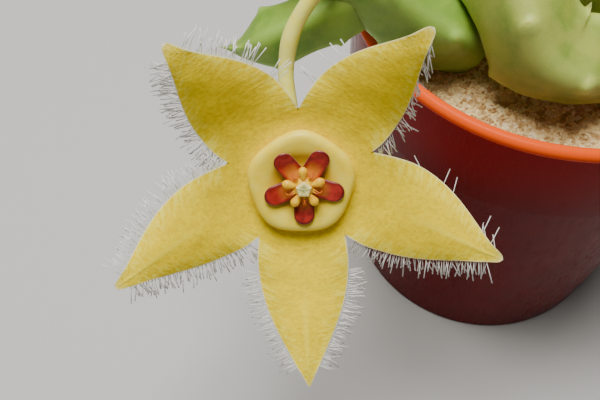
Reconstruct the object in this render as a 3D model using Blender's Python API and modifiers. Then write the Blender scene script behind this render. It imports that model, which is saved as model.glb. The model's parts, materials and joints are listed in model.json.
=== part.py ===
"""Potted orbea: a clump of four-angled toothed stems in a small plastic pot, with one star-shaped flower.

The origin is the middle of the pot's underside, on the surface it stands on. +Z is up, and -Y is the
side that the flower hangs over. Run it with: blender --background --python part.py
"""

import math
from collections import namedtuple

import bmesh
import bpy
from mathutils import Matrix, Vector, noise

MM = 0.001
WELD = 0.005 * MM

# Pot
LIP_RADIUS = 32.0 * MM
LIP_BEAD = 0.95 * MM
LIP_LEVEL = 67.5 * MM
LIP_POINTS = 9
COLLAR_RADIUS = 30.9 * MM
COLLAR_LEVEL = 52.0 * MM
COLLAR_STEP = 0.7 * MM
BASE_RADIUS = 26.0 * MM
BASE_EDGE_WIDTH = 0.7 * MM
BASE_EDGE_HEIGHT = 1.2 * MM
WALL = 1.2 * MM
FLOOR = 1.8 * MM
FOOT_DEPTH = 1.0 * MM
FOOT_WIDTH = 2.4 * MM
HUB_RADIUS = 9.0 * MM
DRAIN_COUNT = 6
DRAIN_RADIUS = 2.6 * MM
DRAIN_RING = 15.5 * MM
DRAIN_SIDES = 14
POT_STEPS = 48
CUTTER_LENGTH = 30.0 * MM

# Grit
GAP = 0.3 * MM
GRIT_LEVEL = 63.5 * MM
GRIT_CROWN = 0.4 * MM
GRIT_ROUGHNESS = 0.4 * MM
GRIT_GRAIN = 2.6 * MM
GRIT_RINGS = 9
GRIT_STEPS = 48

# Stems: four angles, with a low tubercle and a soft tooth at each node
STEM_SIDES = 12
TOOTH_PITCH = 9.0 * MM
TOOTH_SPREAD = 0.2
TOOTH_HALF_WIDTH = math.radians(20)
RINGS_PER_PITCH = 4
ROOT_LENGTH = 10.0 * MM
ROOT_SHARE = 0.8
ROOT_BLEND = 6.0 * MM
HOLE_SIDES = 16
FACE_SHARE = 0.87
ANGLE_SPREAD = math.radians(26)
TUBERCLE_SPREAD = 0.28
SHOOT_POINT = 0.5

# Flower: its own frame has X to the right, Y up and Z out of the open face
FLOWER_PLACE = Vector((-38.9, -36.4, 70.0)) * MM
FLOWER_LEAN = math.radians(53)

# Corolla: shares run from the flower's middle, 0, to a lobe's tip, 1
COROLLA_THICKNESS = 1.5 * MM
NOTCH_SHARE = 0.36
NOTCH_EASE = 4
WIDEST_SHARE = 0.38
TIP_TAPER = 1.25
NIB_SHARE = 0.965
NIB_HALF_WIDTH = 0.5 * MM
NIB_BLEND = 3
KNEE_SHARE = 0.55
MARGIN_STEP = 0.02
LOBE_RISE = 6.0 * MM
LOBE_RISE_BEND = 0.9
LOBE_ARCH = 1.5 * MM
ARCH_START = 0.08
ARCH_STRETCH = 1.1
ARCH_EASE = 0.25
FLAT_RADIUS = 6.6 * MM
LOBE_COLUMNS = 6
LOBE_ROWS = 13

# Bristles: upper and lower row in turn, with depth in the flesh as a share of it and slope
BRISTLE_LENGTH = 2.7 * MM
BRISTLE_SINK = 0.4 * MM
BRISTLE_ROOT = 0.32 * MM
BRISTLE_TIP = 0.2 * MM
BRISTLE_ROWS = ((0.6, 0.05), (0.4, -0.35))
BRISTLE_ACROSS = 0.97
BRISTLE_GUIDE = 0.6
BRISTLES_A_SIDE = 12
BRISTLE_START = 0.08
BRISTLE_END = 0.92

# Middle of the flower, in its frame
ANNULUS_STEPS = 32
ANNULUS_SECTION = ((0, 0.75), (2.6, 0.75), (3.7, 0.95), (4.7, 1.45), (5.4, 1.75), (6.05, 1.55), (6.45, 1.0),
                   (6.4, 0.5), (6.0, 0.2), (0, 0.2))
CROWN_SHIFT = Vector((0.3, 0, 0)) * MM
FINGER_REACH = 3.65 * MM
FINGER_RADIUS = 1.22 * MM
CORONA_CORE = 1.6 * MM
CORONA_LEVEL = 1.75 * MM
CORONA_LIFT = 0.7 * MM
CORONA_THICKNESS = 0.72 * MM
CORONA_COLUMNS = 70
EGG_RING = 1.75 * MM
EGG_LEVEL = 2.65 * MM
EGG_HALF_SIZE = Vector((0.85, 0.58, 0.5)) * MM
EGG_BASE_RADIUS = 1.35 * MM
EGG_BASE_LEVEL = 2.4 * MM
EGG_BASE_DEPTH = 0.6 * MM
STYLE_RADIUS = 0.85 * MM
STYLE_LEVEL = 3.2 * MM
STYLE_DEPTH = 0.5 * MM
STYLE_BEVEL = 0.12 * MM

# Stalk and sepals, the levels in the flower's frame
STALK_RADIUS = 1.05 * MM
STALK_TOP_RADIUS = 2.3 * MM
STALK_TOP_LEVEL = -2.8 * MM
STALK_TOP_LENGTH = 1.8 * MM
SEPAL_COUNT = 5
SEPAL_START = math.radians(54)
SEPAL_RING = 3.1 * MM
SEPAL_LEVEL = -2.5 * MM
SEPAL_LENGTH = 4.2 * MM
SEPAL_HALF_WIDTH = 1.1 * MM
SEPAL_TIP = 0.12 * MM
SEPAL_FLATNESS = 0.35

POT_RED = (0.16, 0.008, 0.006)
SAND = (0.36, 0.25, 0.14)
GREEN = (0.16, 0.27, 0.05)
PALE_GREEN = (0.30, 0.37, 0.13)
STALK_GREEN = (0.50, 0.55, 0.18)
YELLOW = (0.72, 0.52, 0.03)
CREAM = (0.74, 0.66, 0.22)
MAROON = (0.26, 0.02, 0.015)
ORANGE_YELLOW = (0.80, 0.42, 0.05)
STYLE_CREAM = (0.66, 0.66, 0.40)

Stem = namedtuple("Stem", "path radius tubercle tooth tip turn root")
Lobe = namedtuple("Lobe", "reach heading half_width")
Notch = namedtuple("Notch", "reach heading")


def mm(*points):
    """Points given in millimetres, as vectors in metres"""
    return [Vector(p) * MM for p in points]


def rooted(x, y, *bend):
    """A stem's route: straight up out of its hole at (x, y), then through the given points"""
    return mm((x, y, 54), (x, y, 60), (x, y, 64), *bend)


def stem(path, radius, tubercle, tooth, tip, turn, root=ROOT_LENGTH / MM):
    """A stem's route, with its sizes given in millimetres and the turn of its angles in radians"""
    return Stem(path, radius * MM, tubercle * MM, tooth * MM, tip * MM, turn, root * MM)


STEMS = {
    "stem_left": stem(rooted(-17.2, -9.6, (-17.9, -11.2, 68.4), (-21, -12.4, 72.3), (-27, -11.8, 76.2),
                             (-33, -9.5, 80.8), (-38, -7, 86.5), (-41.5, -4, 93)), 5.4, 0.6, 0.8, 8, 0.75),
    "stem_front": stem(rooted(6.5, -17.3, (4.2, -17.8, 68.6), (-1.5, -18.3, 71), (-7.5, -18.2, 73.2),
                              (-11.2, -14.7, 78.2), (-13.6, -8.4, 84.5), (-16.5, -1, 91), (-19, 5, 98)),
                       6.2, 0.7, 0.8, 9, 0.42, 17),
    "stem_middle": stem(rooted(5.5, -2.4, (5.2, -3.6, 70), (4.8, -5, 77), (5.8, -5.8, 85), (8, -5, 94)),
                        5.6, 1.1, 1.5, 8, 0.4),
    "stem_right": stem(rooted(17, -10, (18.3, -10.5, 70), (22, -12, 77), (27, -14.5, 83), (33, -17, 87)),
                       5.4, 1.2, 1.6, 8, 0.1),
    "stem_back_right": stem(rooted(14, 10, (14.5, 10.5, 73), (17, 12, 85), (20, 15, 96)),
                            5.8, 1.2, 1.5, 9, 0.5),
    "stem_back": stem(rooted(-2, 18, (-2.5, 19, 71), (-4, 22, 79), (-7, 27, 85), (-10, 33, 88)),
                      5.2, 1.2, 1.6, 8, 0.3),
    "stem_back_left": stem(rooted(-17, 9, (-17.8, 9.6, 71), (-22, 12.5, 79), (-27.5, 15, 85), (-34, 17, 88)),
                           5.2, 1.2, 1.6, 8, 0.7),
    "stem_centre": stem(rooted(-5, 5, (-5.3, 5.5, 75), (-6, 7, 89), (-5.5, 10, 102)), 6.0, 1.1, 1.4, 9, 0.0),
}
YOUNG_SHOOT = stem(mm((-26.5, -11.8, 76), (-30, -11.5, 75.7), (-34, -12.1, 74.2), (-41, -13.1, 70.8),
                      (-46.5, -12.9, 67.9), (-50.6, -11.6, 66.6)), 3.8, 0.4, 0.5, 9.5, -1.37)
PALE_STEMS = ("stem_front",)

# Lobes and notches run round the flower from its right, and a notch comes after its lobe
LOBES = tuple(Lobe(reach * MM, math.radians(heading), half_width * MM) for reach, heading, half_width in (
    (24.5, -18, 6.8), (23.3, 54, 6.0), (22.4, 130, 6.4), (24.6, 207.4, 5.9), (25.0, 272.4, 5.95)))
NOTCHES = tuple(Notch(reach * MM, math.radians(heading)) for reach, heading in (
    (9.0, 24), (8.8, 92.4), (8.9, 165), (8.8, 234.2), (8.7, 308)))
CORONA_HEADINGS = tuple(math.radians(heading) for heading in (-12, 60.5, 129, 200, 271))
INNER_HEADINGS = tuple(math.radians(heading) for heading in (21.5, 93, 166.5, 239.5, 307))


def clear_scene():
    """Remove what the open file holds"""
    for thing in list(bpy.data.objects):
        bpy.data.objects.remove(thing, do_unlink=True)


def new_collection(name):
    """A new collection in the scene"""
    collection = bpy.data.collections.new(name)
    bpy.context.scene.collection.children.link(collection)
    return collection


def new_material(name, colour, roughness):
    """A Principled material of one colour"""
    material = bpy.data.materials.new(name)
    material.use_nodes = True
    shader = material.node_tree.nodes["Principled BSDF"]
    shader.inputs["Base Color"].default_value = (*colour, 1.0)
    shader.inputs["Roughness"].default_value = roughness
    shader.inputs["Metallic"].default_value = 0.0
    material.diffuse_color = (*colour, 1.0)
    return material


def new_object(name, bm, collection):
    """An object made from a bmesh, which is then freed"""
    mesh = bpy.data.meshes.new(name)
    bm.to_mesh(mesh)
    bm.free()
    thing = bpy.data.objects.new(name, mesh)
    collection.objects.link(thing)
    return thing


def bake(thing):
    """Turn an object's modifiers, or a curve, into a plain welded mesh in world space"""
    bpy.context.view_layer.update()
    graph = bpy.context.evaluated_depsgraph_get()
    mesh = bpy.data.meshes.new_from_object(thing.evaluated_get(graph))
    mesh.transform(thing.matrix_world)
    bm = bmesh.new()
    bm.from_mesh(mesh)
    bmesh.ops.remove_doubles(bm, verts=bm.verts, dist=WELD)
    bm.to_mesh(mesh)
    bm.free()
    solid = bpy.data.objects.new(thing.name, mesh)
    for collection in thing.users_collection:
        collection.objects.link(solid)
    name = thing.name
    bpy.data.objects.remove(thing, do_unlink=True)
    solid.name = name
    return solid


def boolean(thing, operation, collection, solver="EXACT"):
    """Join every solid of a collection to a piece, or cut it away"""
    modifier = thing.modifiers.new(operation.lower(), "BOOLEAN")
    modifier.operation = operation
    modifier.operand_type = "COLLECTION"
    modifier.solver = solver
    modifier.collection = collection
    return bake(thing)


def fuse(thing, others):
    """Join closed solids into the first one, as one body"""
    joined = new_collection("joined")
    for other in others:
        for collection in list(other.users_collection):
            collection.objects.unlink(other)
        joined.objects.link(other)
    solid = boolean(thing, "UNION", joined, "MANIFOLD")
    for other in list(joined.objects):
        bpy.data.objects.remove(other, do_unlink=True)
    bpy.data.collections.remove(joined)
    return solid


def thicken(thing, thickness):
    """Give an open sheet its thickness, below its face"""
    flesh = thing.modifiers.new("flesh", "SOLIDIFY")
    flesh.thickness = thickness
    flesh.offset = -1.0


def turned(name, profile, steps, collection):
    """A solid turned from a profile of (radius, height) points that starts and ends on the axis"""
    bm = bmesh.new()
    section = [bm.verts.new((radius, 0, height)) for radius, height in profile]
    for first, second in zip(section, section[1:]):
        bm.edges.new((first, second))
    thing = new_object(name, bm, collection)
    screw = thing.modifiers.new("turn", "SCREW")
    screw.steps = steps
    screw.render_steps = steps
    screw.use_merge_vertices = True
    screw.merge_threshold = WELD
    return thing


def cutter(name, radius, sides, collection):
    """An upright round cutter, centred on its origin"""
    bm = bmesh.new()
    bmesh.ops.create_cone(bm, cap_ends=True, segments=sides, radius1=radius, radius2=radius,
                          depth=CUTTER_LENGTH)
    thing = new_object(name, bm, collection)
    thing.hide_render = True
    thing.display_type = "WIRE"
    return thing


def finish(thing, material):
    """Give a piece its material and smooth shading"""
    thing.data.materials.clear()
    thing.data.materials.append(material)
    thing.data.shade_smooth()
    thing.data.set_sharp_from_angle(angle=math.radians(40))


def smooth_step(x):
    """A ramp from 0 to 1 with level ends"""
    x = max(0.0, min(1.0, x))
    return x * x * (3 - 2 * x)


def arc(centre, radius, start, end, count):
    """Points on an arc in a profile, with its angles in degrees"""
    points = []
    for i in range(count):
        angle = math.radians(start + (end - start) * i / (count - 1))
        points.append((centre[0] + radius * math.cos(angle), centre[1] + radius * math.sin(angle)))
    return points


def outer_wall(height):
    """Outer radius of the tapered wall below the collar"""
    top = COLLAR_RADIUS - COLLAR_STEP
    return BASE_RADIUS + (top - BASE_RADIUS) * height / COLLAR_LEVEL


def inner_section(clearance):
    """The pot's inside from its floor up to the collar, drawn in by a clearance"""
    floor = FOOT_DEPTH + FLOOR + clearance
    inset = WALL + clearance
    return [(0, floor), (outer_wall(floor) - inset, floor),
            (outer_wall(COLLAR_LEVEL) - inset, COLLAR_LEVEL - WALL),
            (COLLAR_RADIUS - COLLAR_STEP / 2 - inset, COLLAR_LEVEL + WALL / 2)]


def pot_section():
    """The pot's section, from the middle of its floor up the inside, over the lip and down to its base"""
    lip = arc((LIP_RADIUS - LIP_BEAD, LIP_LEVEL), LIP_BEAD, 200, -60, LIP_POINTS)
    under_lip = [(lip[0][0], LIP_LEVEL - 2 * LIP_BEAD)]
    outside = [(COLLAR_RADIUS, LIP_LEVEL - 1.6 * LIP_BEAD), (COLLAR_RADIUS - COLLAR_STEP / 3, COLLAR_LEVEL),
               (outer_wall(COLLAR_LEVEL), COLLAR_LEVEL - COLLAR_STEP)]
    edge = [(outer_wall(BASE_EDGE_HEIGHT), BASE_EDGE_HEIGHT), (BASE_RADIUS - BASE_EDGE_WIDTH, 0)]
    foot = [(BASE_RADIUS - FOOT_WIDTH, 0), (BASE_RADIUS - FOOT_WIDTH - FOOT_DEPTH, FOOT_DEPTH),
            (HUB_RADIUS + FOOT_DEPTH, FOOT_DEPTH), (HUB_RADIUS, 0), (0, 0)]
    return inner_section(0) + under_lip + lip + outside + edge + foot


def make_pot(collection, cutters):
    """The plastic pot: rolled lip, collar, tapered wall, foot and drainage holes"""
    pot = turned("pot", pot_section(), POT_STEPS, collection)
    for i in range(DRAIN_COUNT):
        angle = 2 * math.pi * i / DRAIN_COUNT
        drain = cutter(f"drain_cutter_{i + 1}", DRAIN_RADIUS, DRAIN_SIDES, cutters)
        drain.location = (DRAIN_RING * math.cos(angle), DRAIN_RING * math.sin(angle), 0)
    pot = boolean(pot, "DIFFERENCE", cutters)
    finish(pot, new_material("pot_plastic", POT_RED, 0.25))


def grit_section():
    """The grit's section: its top from the middle out, then down inside the pot's wall"""
    side = inner_section(GAP)[::-1]
    edge = side[0][0]
    top = [(edge * i / GRIT_RINGS, GRIT_LEVEL) for i in range(GRIT_RINGS + 1)]
    return top + side


def grit_height(x, y):
    """Height of the grit's bumpy top, which is lowest at the wall"""
    middle = 1 - math.hypot(x, y) / LIP_RADIUS
    bumps = noise.noise(Vector((x, y, 0)) / GRIT_GRAIN)
    return GRIT_LEVEL + GRIT_CROWN * smooth_step(2 * middle) + GRIT_ROUGHNESS * bumps


def make_grit(collection, cutters):
    """The sand that fills the pot, with a plain hole for each stem"""
    grit = bake(turned("grit", grit_section(), GRIT_STEPS, collection))
    for vertex in grit.data.vertices:
        if abs(vertex.co.z - GRIT_LEVEL) < WELD:
            vertex.co.z = grit_height(vertex.co.x, vertex.co.y)
    for name, plant in STEMS.items():
        root = plant.path[0]
        radius = (plant.radius * ROOT_SHARE + GAP) / math.cos(math.pi / HOLE_SIDES)
        hole = cutter(f"hole_cutter_{name}", radius, HOLE_SIDES, cutters)
        hole.location = (root.x, root.y, root.z - GAP + CUTTER_LENGTH / 2)
    grit = boolean(grit, "DIFFERENCE", cutters)
    finish(grit, new_material("grit_sand", SAND, 0.95))


class Route:
    """A smooth line through a few points, with a frame that doesn't twist along it"""

    def __init__(self, points, pieces=12):
        ends = [points[0] * 2 - points[1]] + list(points) + [points[-1] * 2 - points[-2]]
        self.places = []
        for a, b, c, d in zip(ends, ends[1:], ends[2:], ends[3:]):
            for i in range(pieces):
                t = i / pieces
                self.places.append(0.5 * (2 * b + (c - a) * t + (2 * a - 5 * b + 4 * c - d) * t ** 2
                                          + (3 * b - a - 3 * c + d) * t ** 3))
        self.places.append(points[-1].copy())
        self.lengths = [0.0]
        for first, second in zip(self.places, self.places[1:]):
            self.lengths.append(self.lengths[-1] + (second - first).length)
        self.total = self.lengths[-1]
        self.sides = []
        side = Vector((1, 0, 0))
        for i in range(len(self.places)):
            ahead = self.heading(i)
            side = (side - ahead * side.dot(ahead)).normalized()
            self.sides.append(side)

    def heading(self, i):
        """Direction of the line at its i-th place"""
        low = max(0, i - 1)
        high = min(len(self.places) - 1, i + 1)
        return (self.places[high] - self.places[low]).normalized()

    def at(self, distance):
        """Place, direction and side of the line at a distance from its start"""
        i = 0
        while i < len(self.lengths) - 2 and self.lengths[i + 1] < distance:
            i += 1
        share = (distance - self.lengths[i]) / (self.lengths[i + 1] - self.lengths[i])
        share = max(0.0, min(1.0, share))
        place = self.places[i].lerp(self.places[i + 1], share)
        ahead = self.heading(i).lerp(self.heading(i + 1), share).normalized()
        side = self.sides[i].lerp(self.sides[i + 1], share)
        side = (side - ahead * side.dot(ahead)).normalized()
        return place, ahead, side


def stem_radius(plant, pitch, to_tip, to_root, turn, has_root):
    """Distance of the skin from the stem's middle and a tooth's height on it, in one direction"""
    radius = plant.radius * FACE_SHARE
    tooth = 0.0
    for k in range(4):
        gap = math.remainder(turn - k * math.pi / 2, 2 * math.pi)
        closeness = math.exp(-(gap / ANGLE_SPREAD) ** 2)
        off = math.remainder(to_tip - (k % 2) * pitch / 2, pitch)
        bump = math.exp(-(off / (TUBERCLE_SPREAD * pitch)) ** 2)
        radius += closeness * (plant.radius * (1 - FACE_SHARE) + plant.tubercle * bump)
        at_node = max(0.0, 1 - abs(off) / (TOOTH_SPREAD * pitch)) * max(0.0, 1 - abs(gap) / TOOTH_HALF_WIDTH)
        tooth = max(tooth, plant.tooth * at_node)
    near = min(1.0, to_tip / plant.tip)
    dome = math.sqrt(near * (2 - near)) if has_root else max(smooth_step(near), near * SHOOT_POINT)
    if has_root:
        above = smooth_step((to_root - plant.root) / ROOT_BLEND)
        radius = plant.radius * ROOT_SHARE + above * (radius - plant.radius * ROOT_SHARE)
        tooth *= above
    return radius * dome, tooth * dome


def stem_skin(name, plant, collection, has_root=True):
    """One stem as a closed skin: a ball's rings strung along its route, with a flat end at the root"""
    route = Route(plant.path)
    rings = round(route.total / TOOTH_PITCH * RINGS_PER_PITCH)
    step = route.total / rings
    bm = bmesh.new()
    bmesh.ops.create_uvsphere(bm, u_segments=STEM_SIDES, v_segments=rings + 1, radius=1.0)
    for vertex in bm.verts:
        ring = round(math.acos(max(-1.0, min(1.0, vertex.co.z))) / math.pi * (rings + 1))
        pole = ring in (0, rings + 1)
        turn = math.atan2(vertex.co.y, vertex.co.x)
        to_tip = min(ring, rings) * step
        to_root = route.total - to_tip
        place, ahead, side = route.at(to_root)
        radius, tooth = stem_radius(plant, step * RINGS_PER_PITCH, to_tip, to_root, turn, has_root)
        out = side * math.cos(turn + plant.turn) + ahead.cross(side) * math.sin(turn + plant.turn)
        vertex.co = place if pole else place + out * (radius + tooth) + ahead * tooth
    return new_object(name, bm, collection)


def make_stems(collection):
    """Every stem of the clump, the left one with its young shoot"""
    green = new_material("stem_green", GREEN, 0.5)
    pale = new_material("stem_pale", PALE_GREEN, 0.5)
    for name, plant in STEMS.items():
        thing = stem_skin(name, plant, collection)
        if name == "stem_left":
            thing = fuse(thing, [stem_skin("young_shoot", YOUNG_SHOOT, collection, has_root=False)])
        finish(thing, pale if name in PALE_STEMS else green)


def flat(reach, heading):
    """A point of the flower's plane from its distance and direction"""
    return Vector((reach * math.cos(heading), reach * math.sin(heading), 0))


def lobe_half_width(lobe, share):
    """Half width of a lobe at a share of its length"""
    past = (share - WIDEST_SHARE) / (1 - WIDEST_SHARE)
    half = lobe.half_width * max(0.0, math.cos(past * math.pi / 2)) ** TIP_TAPER
    nib = NIB_HALF_WIDTH * math.sqrt(max(0.0, 1 - ((share - NIB_SHARE) / (1 - NIB_SHARE)) ** 2))
    return (half ** NIB_BLEND + nib ** NIB_BLEND) ** (1 / NIB_BLEND)


def lobe_middle(lobe, before, after, share):
    """Midline of a lobe, which starts between its two notches and bends to its tip"""
    start = (before.heading + after.heading) / 2
    knee = flat(lobe.reach * KNEE_SHARE, start)
    tip = flat(lobe.reach, lobe.heading)
    return knee * 2 * share * (1 - share) + tip * share ** 2


def margin(lobe, before, after, share, side):
    """Point of a lobe's margin, on its left (1) or right (-1), at a share of its length"""
    ahead = (lobe_middle(lobe, before, after, min(1.0, share + MARGIN_STEP))
             - lobe_middle(lobe, before, after, share - MARGIN_STEP))
    across = Vector((-ahead.y, ahead.x, 0)).normalized()
    return lobe_middle(lobe, before, after, share) + across * side * lobe_half_width(lobe, share)


def lobe_point(lobe, before, after, across, along):
    """Point of the corolla's face: across runs from -1 to 1 and along from the middle to the tip"""
    notch = {1: flat(after.reach, after.heading), -1: flat(before.reach, before.heading)}
    past = max(0.0, (along - NOTCH_SHARE) / (1 - NOTCH_SHARE))
    ends = {}
    for side in (-1, 1):
        if along <= NOTCH_SHARE:
            ends[side] = notch[side] * (along / NOTCH_SHARE)
        else:
            drift = notch[side] - margin(lobe, before, after, NOTCH_SHARE, side)
            ends[side] = margin(lobe, before, after, along, side) + drift * (1 - past) ** NOTCH_EASE
    middle = lobe_middle(lobe, before, after, along)
    half = (ends[1] - ends[-1]) / 2
    bow = (ends[1] + ends[-1]) / 2 - middle
    point = middle + half * across + bow * across ** 2
    point.z = lobe_height(lobe, point.length, past, across)
    return point


def lobe_height(lobe, radius, past, across):
    """Height of the corolla's face: level under the ring, rising along each lobe, with bent back margins"""
    rise = LOBE_RISE * smooth_step((radius - FLAT_RADIUS) / (lobe.reach - FLAT_RADIUS)) ** LOBE_RISE_BEND
    arch = LOBE_ARCH * math.sin(math.pi * min(1.0, past * ARCH_STRETCH + ARCH_START))
    return rise - arch * across ** 2 * smooth_step(past / ARCH_EASE)


def lobe_neighbours(i):
    """A lobe with the notches on its right and left, their headings in order"""
    lobe = LOBES[i]
    after = NOTCHES[i]
    before = NOTCHES[i - 1]
    if before.heading > after.heading:
        before = Notch(before.reach, before.heading - 2 * math.pi)
    return lobe, before, after


def flower_frame():
    """Placing of the flower's own frame"""
    return Matrix.Translation(FLOWER_PLACE) @ Matrix.Rotation(FLOWER_LEAN, 4, "X")


def crown_frame():
    """Placing of the two crowns and the style head, which sit a little off the ring's middle"""
    return flower_frame() @ Matrix.Translation(CROWN_SHIFT)


def corolla_face(bm):
    """The star's open face: one bent grid for each lobe, merged at the middle and along the seams"""
    for i in range(len(LOBES)):
        lobe, before, after = lobe_neighbours(i)
        grid = bmesh.ops.create_grid(bm, x_segments=LOBE_COLUMNS, y_segments=LOBE_ROWS, size=1.0)
        for vertex in grid["verts"]:
            vertex.co = lobe_point(lobe, before, after, -vertex.co.x, (vertex.co.y + 1) / 2)
    bmesh.ops.remove_doubles(bm, verts=bm.verts, dist=WELD)
    bmesh.ops.triangulate(bm, faces=bm.faces)


def bristle_matrix(i, side, k):
    """Placing of one stiff hair of a lobe's margin, sunk in the flesh"""
    lobe, before, after = lobe_neighbours(i)
    depth, slope = BRISTLE_ROWS[k % 2]
    past = BRISTLE_START + (BRISTLE_END - BRISTLE_START) * k / (BRISTLES_A_SIDE - 1)
    share = NOTCH_SHARE + (1 - NOTCH_SHARE) * past
    root = lobe_point(lobe, before, after, side * BRISTLE_ACROSS, share)
    out = root - lobe_point(lobe, before, after, side * BRISTLE_GUIDE, share)
    out.z = 0
    out = (out.normalized() + Vector((0, 0, slope))).normalized()
    middle = root - Vector((0, 0, COROLLA_THICKNESS * depth)) + out * (BRISTLE_LENGTH / 2 - BRISTLE_SINK)
    return Matrix.Translation(middle) @ Vector((0, 0, 1)).rotation_difference(out).to_matrix().to_4x4()


def make_bristles(collection):
    """The stiff hairs along both margins of every lobe"""
    bm = bmesh.new()
    for i in range(len(LOBES)):
        for side in (-1, 1):
            for k in range(BRISTLES_A_SIDE):
                bmesh.ops.create_cone(bm, cap_ends=True, segments=3, radius1=BRISTLE_ROOT, radius2=BRISTLE_TIP,
                                      depth=BRISTLE_LENGTH, matrix=bristle_matrix(i, side, k))
    return new_object("bristles", bm, collection)


def make_corolla(collection):
    """The fleshy yellow star with its fringe"""
    bm = bmesh.new()
    corolla_face(bm)
    corolla = new_object("corolla", bm, collection)
    thicken(corolla, COROLLA_THICKNESS)
    corolla = fuse(bake(corolla), [make_bristles(collection)])
    corolla.matrix_world = flower_frame()
    finish(corolla, new_material("corolla_yellow", YELLOW, 0.5))


def make_annulus(collection):
    """The raised cream ring: rounded rim, with a shallow bowl inside"""
    section = [(radius * MM, height * MM) for radius, height in ANNULUS_SECTION]
    annulus = turned("annulus", section, ANNULUS_STEPS, collection)
    annulus.matrix_world = flower_frame()
    finish(annulus, new_material("annulus_cream", CREAM, 0.45))


def corona_edge(turn):
    """Distance of the outer crown's edge in one direction: straight fingers with round ends"""
    edge = CORONA_CORE
    for heading in CORONA_HEADINGS:
        gap = abs(math.remainder(turn - heading, 2 * math.pi))
        if gap > math.pi / 2:
            continue
        ahead = FINGER_REACH * math.cos(gap)
        beside = FINGER_REACH * math.sin(gap)
        if beside > FINGER_RADIUS * math.cos(gap):
            edge = max(edge, FINGER_RADIUS / math.sin(gap))
        else:
            edge = max(edge, ahead + math.sqrt(FINGER_RADIUS ** 2 - beside ** 2))
    return edge


def make_corona_outer(collection):
    """The maroon outer crown: five blunt fingers that lift a little at their ends"""
    bm = bmesh.new()
    bmesh.ops.create_grid(bm, x_segments=CORONA_COLUMNS, y_segments=2, size=1.0)
    for vertex in bm.verts:
        turn = -vertex.co.x * math.pi
        reach = corona_edge(turn) * (vertex.co.y + 1) / 2
        lift = CORONA_LIFT * (reach / (FINGER_REACH + FINGER_RADIUS)) ** 2
        vertex.co = flat(reach, turn) + Vector((0, 0, CORONA_LEVEL + lift))
    bmesh.ops.remove_doubles(bm, verts=bm.verts, dist=WELD)
    bmesh.ops.triangulate(bm, faces=bm.faces)
    crown = new_object("corona_outer", bm, collection)
    thicken(crown, CORONA_THICKNESS)
    crown.matrix_world = crown_frame()
    finish(crown, new_material("corona_maroon", MAROON, 0.4))


def make_corona_inner(collection):
    """The inner crown: five egg-shaped lobes on a small ring"""
    bm = bmesh.new()
    bmesh.ops.create_cone(bm, cap_ends=True, segments=20, radius1=EGG_BASE_RADIUS, radius2=EGG_BASE_RADIUS,
                          depth=EGG_BASE_DEPTH, matrix=Matrix.Translation((0, 0, EGG_BASE_LEVEL)))
    crown = new_object("corona_inner", bm, collection)
    eggs = []
    for heading in INNER_HEADINGS:
        bm = bmesh.new()
        place = Matrix.Translation(flat(EGG_RING, heading) + Vector((0, 0, EGG_LEVEL)))
        shape = Matrix.Rotation(heading, 4, "Z") @ Matrix.Diagonal((*EGG_HALF_SIZE, 1))
        bmesh.ops.create_uvsphere(bm, u_segments=10, v_segments=6, radius=1.0, matrix=place @ shape)
        eggs.append(new_object("egg", bm, collection))
    crown = fuse(crown, eggs)
    crown.matrix_world = crown_frame()
    finish(crown, new_material("corona_yellow", ORANGE_YELLOW, 0.4))


def make_style_head(collection):
    """The pale five-sided head in the middle of the flower"""
    bm = bmesh.new()
    bmesh.ops.create_cone(bm, cap_ends=True, segments=5, radius1=STYLE_RADIUS,
                          radius2=STYLE_RADIUS - STYLE_BEVEL, depth=STYLE_DEPTH,
                          matrix=Matrix.Translation((0, 0, STYLE_LEVEL)))
    head = new_object("style_head", bm, collection)
    edge = head.modifiers.new("edge", "BEVEL")
    edge.width = STYLE_BEVEL
    edge.segments = 2
    head.matrix_world = crown_frame()
    finish(head, new_material("style_cream", STYLE_CREAM, 0.5))


def stalk_route():
    """Guide points of the stalk, from the stem's flank over the shoot and up under the flower"""
    bend = mm((-1.4, 6.0, -9.4), (-0.7, 2.6, -7.9), (-0.2, 0.6, -5.2), (0, 0, -2.2))
    arch = mm((-35.6, -14.0, 82.0), (-36.3, -16.1, 82.2), (-37.9, -17.4, 80.6), (-39.4, -18.6, 78.4),
              (-40.3, -19.8, 76.4), (-40.7, -21.0, 74.2), (-40.8, -22.6, 72.1))
    return arch + [flower_frame() @ point for point in bend]


def stalk_tube(collection):
    """The stalk itself, as a closed tube"""
    curve = bpy.data.curves.new("flower_stalk", "CURVE")
    curve.dimensions = "3D"
    curve.bevel_depth = STALK_RADIUS
    curve.bevel_resolution = 2
    curve.use_fill_caps = True
    line = curve.splines.new("POLY")
    places = Route(stalk_route(), 4).places
    line.points.add(len(places) - 1)
    for point, place in zip(line.points, places):
        point.co = (*place, 1)
    stalk = bpy.data.objects.new("flower_stalk", curve)
    collection.objects.link(stalk)
    return bake(stalk)


def stalk_cone(name, sides, radii, depth, matrix, collection):
    """A tapered piece of the stalk's head"""
    bm = bmesh.new()
    bmesh.ops.create_cone(bm, cap_ends=True, segments=sides, radius1=radii[0], radius2=radii[1], depth=depth,
                          matrix=flower_frame() @ matrix)
    return new_object(name, bm, collection)


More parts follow.
